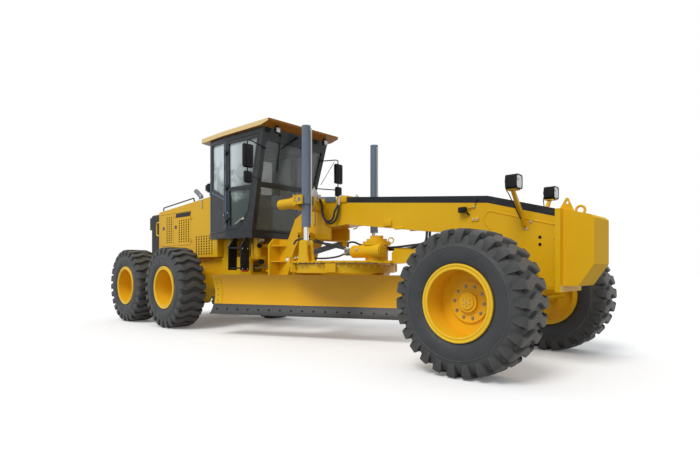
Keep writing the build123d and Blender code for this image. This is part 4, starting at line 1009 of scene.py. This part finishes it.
wiper.tube([(-0.140, 0.010, 3.050), (-0.178, -0.130, 2.945), (-0.222, -0.290, 2.816)], 0.005, 8)
wiper.tube([(-0.140, -0.030, 3.040), (-0.180, -0.165, 2.935), (-0.224, -0.300, 2.806)], 0.004, 8)
wiper.plate([(-0.196, -0.310, 2.925), (-0.196, -0.296, 2.925), (-0.318, -0.262, 2.500),
             (-0.318, -0.276, 2.500)], (0.010, 0, 0.003))
for place in ((-0.150, -0.331, 3.030), (-0.140, -0.010, 3.045)):
    wiper.turned(place, (1, 0, -0.28), [(-0.012, 0.022), (0.010, 0.022), (0.014, 0.016)], 16)
wiper.made("windscreen_wiper", black_paint, "rear_frame")
lining = Part()
lining.block((-1.440, -0.600, 3.020), (-0.300, 0.600, 3.075), 0.025)
lining.block((-1.440, -0.560, 2.965), (-0.900, 0.560, 3.030), 0.030)
lining.made("cab_headlining", lining_cloth, "rear_frame")
speaker = Part()
for y in (-0.330, 0.330):
    speaker.turned((-0.620, y, 3.022), (0, 0, -1),
                   [(0, 0.085), (0.006, 0.085), (0.010, 0.078), (0.007, 0.070), (0.004, 0.030),
                    (0.010, 0.022)], 32)
speaker.made("roof_speakers", trim_plastic, "rear_frame")
cab_side = 0.7205
rib_count = 15
lever_count = 4
for side, out in signs.items():
    handle = Part(out)
    handle.tube([(-0.868, 0.655, 1.676), (-0.850, 0.676, 1.690), (-0.790, 0.672, 1.722),
                 (-0.715, 0.656, 1.764), (-0.690, 0.632, 1.772)], 0.008)
    handle.turned((-0.700, 0.630, 1.772), (-0.2, 1, 0),
                  [(-0.006, 0.026), (0.006, 0.026), (0.012, 0.018)], 20)
    handle.made(f"door_handle_{side}", zinc, f"cab_door_{side}")
    button = Part(out)
    for x, y, z in ((-1.118, 0.7195, 1.850), (-1.020, 0.712, 1.880)):
        button.turned((x, y, z), (0, 1, 0), [(-0.002, 0.009), (0.004, 0.009), (0.006, 0.006)], 16)
    button.made(f"panel_buttons_{side}", lamp_white, "rear_frame")
    hinge = Part(out)
    for z in (1.780, 2.560):
        hinge.turned((-1.0575, 0.7260, z), (0, 0, 1),
                     [(0, 0.010), (0.004, 0.013), (0.052, 0.013), (0.054, 0.010), (0.056, 0.010),
                      (0.058, 0.013), (0.106, 0.013), (0.110, 0.010)], 16)
        hinge.block((-1.100, 0.7195, z + 0.010), (-1.060, 0.7255, z + 0.050))
    hinge.made(f"door_hinges_{side}", black_paint, "rear_frame")
    # Pale slate strips on the door posts, the rear post and the top rail stand for the light caught along
    # their edges: painted highlight.
    trim = Part(out)
    for x in (-1.092, -1.045):
        trim.tube([(x, cab_side, 1.640), (x, cab_side, 2.300), (x, cab_side, 3.000)], 0.008, 8, 1)
    trim.tube([(-1.500, cab_side, 1.590), (-1.490, cab_side, 3.040)], 0.009, 8, 1)
    trim.tube([(-1.500, cab_side, 3.040), (-1.090, cab_side, 3.052)], 0.007, 8, 1)
    trim.made(f"cab_edge_trim_{side}", slate_paint, "rear_frame")
    sill = Part(out)
    sill.block((-1.515, 0.716, 1.572), (-1.070, 0.728, 1.592))
    sill.block((-1.515, 0.716, 1.474), (-1.070, 0.731, 1.490))
    sill.made(f"cab_sill_strips_{side}", charcoal_paint, "rear_frame")
    rib = Part(out)
    rib.block((-0.009, -0.016, -0.002), (0.009, 0.016, 0.006), 0.002)
    rib_places = [((-1.440 + 0.0245 * step, cab_side, 2.235 - 0.0098 * step), (0, 1, 0))
                  for step in range(rib_count)]
    spread_copies(f"quarter_ribs_{side}", rib.shape("quarter_rib"), rib_places, slate_paint, "rear_frame",
                  out)
    levers = Part(out)
    for step in range(lever_count):
        x = -0.955 + 0.030 * step
        levers.tube([(x, 0.305, 2.072), (x + 0.006, 0.303, 2.120), (x + 0.010, 0.300, 2.158)], 0.004, 8)
    levers.made(f"lever_stalks_{side}", zinc, "rear_frame")
    knob = Part(out)
    knob.turned((0, 0, -0.012), (0, 0, 1),
                [(0, 0.006), (0.006, 0.011), (0.018, 0.013), (0.028, 0.009), (0.032, 0.004)], 12)
    knob_places = [((-0.945 + 0.030 * step, 0.300, 2.160), (0, 0, 1)) for step in range(lever_count)]
    spread_copies(f"lever_knobs_{side}", knob.shape("lever_knob"), knob_places, black_paint, "rear_frame",
                  out)
brace = Part()
brace.tube([(-0.200, 0.885, 2.828), (-0.250, 0.770, 2.620), (-0.300, 0.655, 2.412)], 0.005, 8)
brace.made("mirror_brace", black_paint, "rear_frame")
mirror_middle = 0.930
for side, out in signs.items():
    shell = Part(out)
    pane = Part(out)
    for half, low, high in ((0.087, 2.443, 2.787), (0.067, 2.223, 2.397)):
        shell.block((-0.182, mirror_middle - half, low), (-0.116, mirror_middle + half, high), 0.028)
        pane.block((-0.187, mirror_middle - half + 0.014, low + 0.014),
                   (-0.180, mirror_middle + half - 0.014, high - 0.014))
        for across in (-0.36, 0.36):
            rib_middle = mirror_middle + across * half
            shell.block((-0.119, rib_middle - 0.006, low + 0.036), (-0.111, rib_middle + 0.006, high - 0.036))
    shell.made(f"mirror_shells_{side}", black_paint, "rear_frame")
    pane.made(f"mirror_glass_{side}", reflector_bright, "rear_frame")


# ---- Under the cab --------------------------------------------------------------------------
# White rivets and red reflectors on the ladders, a square service lamp and a horn on the frame
# beside the articulation, and the ribbed rubber boot over its connector.
for side, out in signs.items():
    rivet_places = [((-0.5715, y, z), (1, 0, 0)) for y in (0.732, 0.637) for z in (1.296, 0.985)]
    spread_copies(f"ladder_rivets_{side}", fastener("ladder_rivet", 0.008, 12), rivet_places, pale_cast,
                  "rear_frame", out)
    red_strip = Part(out)
    red_strip.block((-0.580, 0.628, 0.940), (-0.568, 0.742, 0.966))
    red_strip.block((-0.578, 0.634, 0.960), (-0.572, 0.736, 0.975))
    red_strip.made(f"ladder_reflector_{side}", red_glass, "rear_frame")
    service_lamp = Part(out)
    service_lamp.block((-0.590, 0.440, 1.402), (-0.535, 0.345, 1.458), 0.008)
    service_lamp.block((-0.540, 0.432, 1.410), (-0.528, 0.353, 1.450))
    service_lamp.made(f"service_lamp_{side}", dull_zinc, "rear_frame")
    horn = Part(out)
    horn.turned((-0.610, 0.400, 1.352), (1, 0.3, 0),
                [(0, 0.020), (0.010, 0.036), (0.024, 0.040), (0.030, 0.036), (0.040, 0.018), (0.060, 0.026),
                 (0.066, 0.034)], 24)
    horn.made(f"frame_horn_{side}", black_paint, "rear_frame")
    boot = Part(out)
    boot_profile = [(0.012 * step, 0.030 + 0.007 * (step % 2)) for step in range(8)]
    boot.turned((-0.730, 0.300, 1.098), (1, 0, 0), boot_profile, 24)
    boot.tube([(-0.735, 0.300, 1.098), (-0.790, 0.300, 1.100), (-0.840, 0.290, 1.125)], 0.014)
    boot.made(f"connector_boot_{side}", rubber_seal, "rear_frame")


# ---- Saddle, lift cylinders and plumbing ----------------------------------------------------
# Steel pipes run up the lift barrels, cap screws hold the trunnion blocks, and rubber hoses
# loop from a cast valve on the saddle to the steel elbows on the beam.
for side, out in signs.items():
    pipe = Part(out)
    pipe.tube([(0.906, 0.684, 1.600), (0.924, 0.679, 1.606), (0.930, 0.677, 1.630), (0.930, 0.677, 2.200),
               (0.930, 0.677, 2.800), (0.924, 0.679, 2.824), (0.906, 0.684, 2.830)], 0.0075)
    pipe.made(f"lift_pipe_{side}", zinc, f"lift_barrel_{side}")
    cap_places = [((x, 0.825, z), (0, 1, 0)) for x, z in ((0.765, 1.956), (0.768, 1.922), (0.765, 1.886),
                                                          (0.806, 1.966), (0.806, 1.872))]
    spread_copies(f"trunnion_screws_{side}", fastener("trunnion_screw", 0.009), cap_places, dull_zinc,
                  "front_frame", out)
    valve = Part(out)
    valve.block((0.690, 0.400, 1.930), (0.762, 0.480, 2.060), 0.010)
    valve.block((0.700, 0.415, 2.050), (0.752, 0.465, 2.092), 0.008)
    valve.block((0.730, 0.350, 1.960), (0.775, 0.410, 2.020), 0.008)
    valve.turned((0.726, 0.440, 2.085), (0, 0, 1),
                 [(0, 0.014), (0.020, 0.014), (0.022, 0.008), (0.040, 0.006)], 16)
    valve.made(f"saddle_valve_{side}", pale_cast, "front_frame")
    loop = Part(out)
    for shift in (0.0, 0.036):
        near = 0.226 + shift * 0.9
        loop.tube([(0.740, 0.370 + shift, 1.985), (0.690, 0.300, 1.975), (0.655 + shift, near, 1.900),
                   (0.665 + shift, near, 1.780), (0.735 + shift * 0.6, near, 1.665 + shift * 0.5),
                   (0.830, near, 1.622 + shift * 0.8), (0.930 - shift * 0.5, near, 1.662 + shift * 0.6),
                   (0.985 - shift, near, 1.780), (0.985, 0.215, 1.890)], 0.0155)
    loop.made(f"saddle_hoses_{side}", hose_rubber, "front_frame")
    elbow = Part(out)
    elbow.turned((0.985, 0.215, 1.872), (0, -0.12, 1),
                 [(0, 0.019), (0.030, 0.019), (0.032, 0.022), (0.050, 0.022), (0.052, 0.017), (0.080, 0.017),
                  (0.084, 0.012)], 16)
    elbow.tube([(0.985, 0.206, 1.950), (0.990, 0.195, 1.990), (1.000, 0.160, 2.002), (1.005, 0.120, 1.998)],
               0.013)
    elbow.made(f"beam_elbow_{side}", pale_cast, "front_frame")
    down_pipe = Part(out)
    down_pipe.tube([(0.745, 0.430, 1.935), (0.750, 0.440, 1.860), (0.752, 0.445, 1.700),
                    (0.735, 0.430, 1.610), (0.690, 0.400, 1.590)], 0.008)
    down_pipe.made(f"saddle_pipe_{side}", dull_zinc, "front_frame")
    arm_hose = Part(out)
    arm_hose.tube([(0.430, 0.560, 1.330), (0.470, 0.530, 1.392), (0.620, 0.490, 1.398),
                   (0.800, 0.440, 1.350), (1.000, 0.380, 1.318), (1.110, 0.330, 1.290),
                   (1.180, 0.270 if out < 0 else 0.05, 1.262)], 0.0145)
    arm_hose.made(f"drawbar_hose_{side}", hose_rubber, "drawbar")
motor_hoses = Part()
motor_hoses.tube([(0.870, -0.600, 1.135), (0.930, -0.560, 1.125), (1.030, -0.470, 1.128),
                  (1.120, -0.370, 1.150), (1.190, -0.300, 1.190)], 0.0125)
motor_hoses.tube([(0.780, -0.460, 1.390), (0.870, -0.430, 1.345), (0.980, -0.390, 1.300),
                  (1.110, -0.330, 1.270), (1.200, -0.290, 1.245)], 0.0145)
motor_hoses.tube([(1.740, -0.060, 1.262), (1.900, -0.085, 1.262), (2.130, -0.110, 1.275),
                  (2.330, -0.130, 1.290), (2.385, -0.145, 1.330), (2.400, -0.150, 1.400),
                  (2.402, -0.150, 1.470)], 0.0155)
motor_hoses.tube([(1.740, -0.020, 1.235), (1.920, -0.045, 1.232), (2.150, -0.072, 1.250),
                  (2.350, -0.100, 1.268), (2.415, -0.120, 1.320), (2.428, -0.128, 1.400),
                  (2.430, -0.128, 1.470)], 0.0155)
motor_hoses.made("circle_drive_hoses", hose_rubber, "drawbar")
fittings = Part()
for foot, along in (((0.862, -0.604, 1.134), (1, 0.6, -0.1)), ((1.172, -0.316, 1.180), (1, 0.7, 0.35)),
                    ((1.180, -0.300, 1.250), (1, 0.5, -0.3)), ((1.715, -0.058, 1.262), (1, 0, 0)),
                    ((1.715, -0.018, 1.236), (1, 0, 0))):
    fittings.turned(foot, along,
                    [(0, 0.016), (0.012, 0.018), (0.026, 0.018), (0.028, 0.0155), (0.046, 0.0155)], 12)
fittings.block((0.800, -0.650, 1.110), (0.865, -0.590, 1.165), 0.006)
fittings.made("hose_fittings", dull_zinc, "drawbar")


# ---- Saddle lock bar ------------------------------------------------------------------------
# The saddle's cross plate is drilled with a row of index holes for its lock pin; each hole has
# a rolled collar, and between them small black discs are painted shade for smaller holes.
hole_face = 0.4725
hole_height = 1.450
collars = Part()
for y in (-0.4, -0.2, 0.0, 0.2, 0.4):
    collars.hoop((hole_face, y, hole_height), (1, 0, 0),
                 [(-0.002, 0.0265), (0.003, 0.0265), (0.005, 0.030), (0.003, 0.034), (-0.002, 0.034)], 24)
collars.made("index_hole_collars", yellow_paint, "front_frame")
# Black discs standing for the dark inside of holes: painted shade.
plugs = Part()
for y in (-0.5, -0.3, -0.1, 0.1, 0.3, 0.5):
    plugs.turned((hole_face, y, hole_height), (1, 0, 0),
                 [(-0.002, 0.018), (0.003, 0.017), (0.003, 0.012), (0.001, 0.009)])
plugs.made("index_hole_plugs", black_paint, "front_frame")


# ---- Circle drive and drawbar ---------------------------------------------------------------
# A bolted cover closes the worm case and an eye bolt lifts it. A rubber strip edges the drawbar's
# plate, bolt heads hold the wear strips, and a rolled skirt and a ring of bolts finish the circle.
worm_face = Vector((1.7925, -0.250, 1.212))
worm_cover = Part()
worm_cover.turned(worm_face, (1, 0, 0),
                  [(-0.002, 0.062), (0.007, 0.062), (0.009, 0.060), (0.008, 0.028), (0.010, 0.026)], 48)
worm_cover.made("worm_cover", yellow_paint, "drawbar")
cover_bolt_places = ring_of_places(worm_face + Vector((0.0085, 0, 0)), (1, 0, 0), 0.044, 6, 0.3)
spread_copies("worm_cover_bolts", fastener("cover_bolt", 0.006), cover_bolt_places, dull_zinc,
              "drawbar")
eye = Part()
eye_turns = [step * math.tau / 10 for step in range(10)]
eye_section = [(0.0075 * math.cos(turn), 0.034 + 0.0075 * math.sin(turn)) for turn in eye_turns]
eye.hoop((1.802, -0.085, 1.352), (0.7, -0.72, 0), eye_section, 32)
eye.turned((1.760, -0.100, 1.300), (0.75, 0.1, 0.45),
           [(-0.006, 0.012), (0.020, 0.012), (0.024, 0.009), (0.036, 0.008)], 16)
eye.made("drive_eye_bolt", yellow_paint, "drawbar")
plug_places = [((1.425, -0.331, 1.236), (0, -1, 0.28))]
spread_copies("worm_case_plug", fastener("case_plug", 0.016), plug_places, zinc, "drawbar")
skirt = Part()
circle_low, circle_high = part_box("circle")
circle_centre = ((circle_low.x + circle_high.x) / 2, 0, 0)
skirt.hoop(circle_centre, (0, 0, 1), [(0.930, 0.700), (0.930, 0.719), (0.970, 0.7195), (0.970, 0.700)], 128)
skirt.made("circle_skirt", yellow_paint, "circle")
ring_bolt = Part()
ring_bolt.turned((0, 0, 0), (0, 0, 1),
                 [(-0.002, 0.019), (0.003, 0.019), (0.0055, 0.015), (0.0055, 0.006)], 12)
ring_bolt_count = 44
ring_bolt_circle = 0.720
ring_bolt_height = 1.020
ring_bolt_turns = [math.tau * (step + 0.5) / ring_bolt_count for step in range(ring_bolt_count)]
ring_bolt_places = [((circle_centre[0] + ring_bolt_circle * math.cos(turn), ring_bolt_circle * math.sin(turn),
                      ring_bolt_height), (math.cos(turn), math.sin(turn), 0)) for turn in ring_bolt_turns]
# The ring bolts are painted a paler yellow than the machine as a painted highlight on their heads.
bolt_painted_highlight_yellow = sprayed("bolt_painted_highlight_yellow", (0.96, 0.70, 0.12), (0.93, 0.64, 0.09), roughness=0.40)
spread_copies("circle_ring_bolts", ring_bolt.shape("circle_ring_bolt"), ring_bolt_places, bolt_painted_highlight_yellow,
              "circle")


def first_touch(node, start, way):
    """Where a line first meets a CAD node, and how its skin faces there."""
    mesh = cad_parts[node].data
    corners = [point.co for point in mesh.vertices]
    tree = BVHTree.FromPolygons(corners, [tuple(face.vertices) for face in mesh.polygons])
    spot, facing, _, _ = tree.ray_cast(Vector(start), Vector(way).normalized())
    return spot, facing


for side, out in signs.items():
    strip_points = []
    bolt_places = []
    for step in range(40):
        x = 0.560 + 0.030 * step
        spot, facing = first_touch("drawbar", (x, out * 1.4, 1.086), (0, -out, 0))
        if spot is None or abs(spot.y) < 0.25:
            continue
        strip_points.append(spot + Vector((facing.x, facing.y, 0)) * 0.002)
        if step % 4 == 0:
            bolt_places.append((spot - Vector((0, 0, 0.008)), Vector((facing.x, facing.y, 0))))
    strip = Part()
    rows = [[strip.builder.verts.new(spot + Vector((0, out * deep, high))) for spot in strip_points]
            for deep, high in ((0, -0.031), (0.004, -0.031), (0.004, -0.022), (0, -0.022))]
    strip.skin([list(ring) for ring in zip(*rows)])
    strip.made(f"circle_plate_strip_{side}", rubber_seal, "drawbar")
    spread_copies(f"wear_strip_bolts_{side}", fastener("wear_strip_bolt", 0.012), bolt_places, yellow_paint,
                  "drawbar")


# ---- Blade ----------------------------------------------------------------------------------
# The curved blade has a welded wear plate with five bolts at each end, and its hardened edge
# is held by a row of flush plough bolts.
blade_along = Vector((0.913, 0.408, 0))
blade_front = Vector((0.408, -0.913, 0))
blade_end = Vector((-0.790, -1.150, 0))
blade_length = 3.690


def on_blade(node, distance, height):
    """The place on the front of the blade at a distance from its right end, and its facing."""
    start = blade_end + blade_along * distance + blade_front * 0.6 + Vector((0, 0, height))
    return first_touch(node, start, -blade_front)


end_plates = Part()
end_places = []
end_rows = 15
for near, far in ((0.034, 0.160), (blade_length - 0.140, blade_length - 0.014)):
    fronts = []
    for step in range(end_rows):
        height = 0.475 + 0.028 * step
        row = []
        for distance in (near, far):
            spot, facing = on_blade("moldboard", distance, height)
            if spot is not None:
                row.append((spot - facing * 0.003, spot + facing * 0.005))
        if len(row) == 2:
            ring = (row[0][0], row[0][1], row[1][1], row[1][0])
            fronts.append([end_plates.builder.verts.new(point) for point in ring])
    end_plates.skin(fronts)
    for height in (0.515, 0.600, 0.685, 0.770, 0.850):
        spot, facing = on_blade("moldboard", near * 0.62 + far * 0.38, height)
        if spot is not None:
            end_places.append((spot + facing * 0.005, facing))
end_plates.made("blade_end_plates", yellow_paint, "blade")
spread_copies("blade_end_bolts", fastener("end_bolt", 0.009), end_places, dull_zinc, "blade")
edge_places = []
edge_bolt_count = 21
edge_bolt_height = 0.392
for step in range(edge_bolt_count):
    distance = 0.110 + step * (blade_length - 0.210) / (edge_bolt_count - 1)
    spot, facing = on_blade("cutting_edge", distance, edge_bolt_height)
    if spot is not None:
        edge_places.append((spot, facing))
spread_copies("edge_bolts", fastener("plough_bolt", 0.012, 8), edge_places, black_paint,
              "blade")


# ---- Operator's seat ------------------------------------------------------------------------
# A foam seat in dark woven cloth: a cushion, a back and a head pad, blown up as cloth so that
# their sides draw in between the corners, on a black suspension base.
def foam_pad(name, low, high, lean=0.0, swell=0.022):
    """A padded cushion, puffed out as cloth from a slightly smaller block."""
    foam = Part()
    foam.block(low, high, 0.030)
    foot = ((low[0] + high[0]) / 2, (low[1] + high[1]) / 2, low[2])
    bmesh.ops.rotate(foam.builder, cent=foot, matrix=Matrix.Rotation(lean, 3, "Y"), verts=foam.builder.verts)
    pad = foam.shape(name, 80)
    bpy.context.view_layer.objects.active = pad
    remesh = pad.modifiers.new("even_mesh", "REMESH")
    remesh.mode = "VOXEL"
    remesh.voxel_size = 0.013
    pad = made_real(name, pad)
    rest = [point.co.copy() for point in pad.data.vertices]
    cloth = pad.modifiers.new("puffed", "CLOTH")
    cloth.settings.use_pressure = True
    cloth.settings.uniform_pressure_force = 4
    cloth.settings.effector_weights.gravity = 0
    cloth.point_cache.frame_start = 1
    cloth.point_cache.frame_end = puffing_steps
    for step in range(1, puffing_steps + 1):
        scene.frame_set(step)
    puffed = made_real(name, pad)
    for point, start in zip(puffed.data.vertices, rest):
        move = point.co - start
        if move.length > swell:
            point.co = start + move.normalized() * swell
    scene.frame_set(1)
    puffed.data.shade_smooth()
    return puffed


puffing_steps = 20
seat_pads = (
    ("seat_cushion", (-1.390, -0.215, 1.985), (-0.975, 0.215, 2.085), 0.05),
    ("seat_back", (-1.392, -0.205, 2.105), (-1.312, 0.205, 2.430), -0.06),
    ("seat_head_pad", (-1.400, -0.120, 2.470), (-1.340, 0.120, 2.580), -0.06),
)
for name, low, high, lean in seat_pads:
    pad = foam_pad(name, low, high, lean)
    fitted(name, pad, seat_cloth, "rear_frame")
base = Part()
base.block((-1.380, -0.190, 1.562), (-1.000, 0.190, 1.640), 0.010)
for step in range(7):
    width = 0.150 + 0.012 * (step % 2)
    base.block((-1.190 - width, -width, 1.636 + 0.045 * step), (-1.190 + width, width, 1.684 + 0.045 * step),
               0.014)
base.block((-1.400, -0.205, 1.950), (-0.985, 0.205, 1.985), 0.012)
base.block((-1.425, -0.180, 1.960), (-1.398, 0.180, 2.440), 0.012)
for y in (-0.050, 0.050):
    base.tube([(-1.412, y, 2.420), (-1.410, y, 2.470), (-1.402, y, 2.520)], 0.007)
seat_frame = base.made("seat_base", trim_plastic, "rear_frame")
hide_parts("operator_seat")
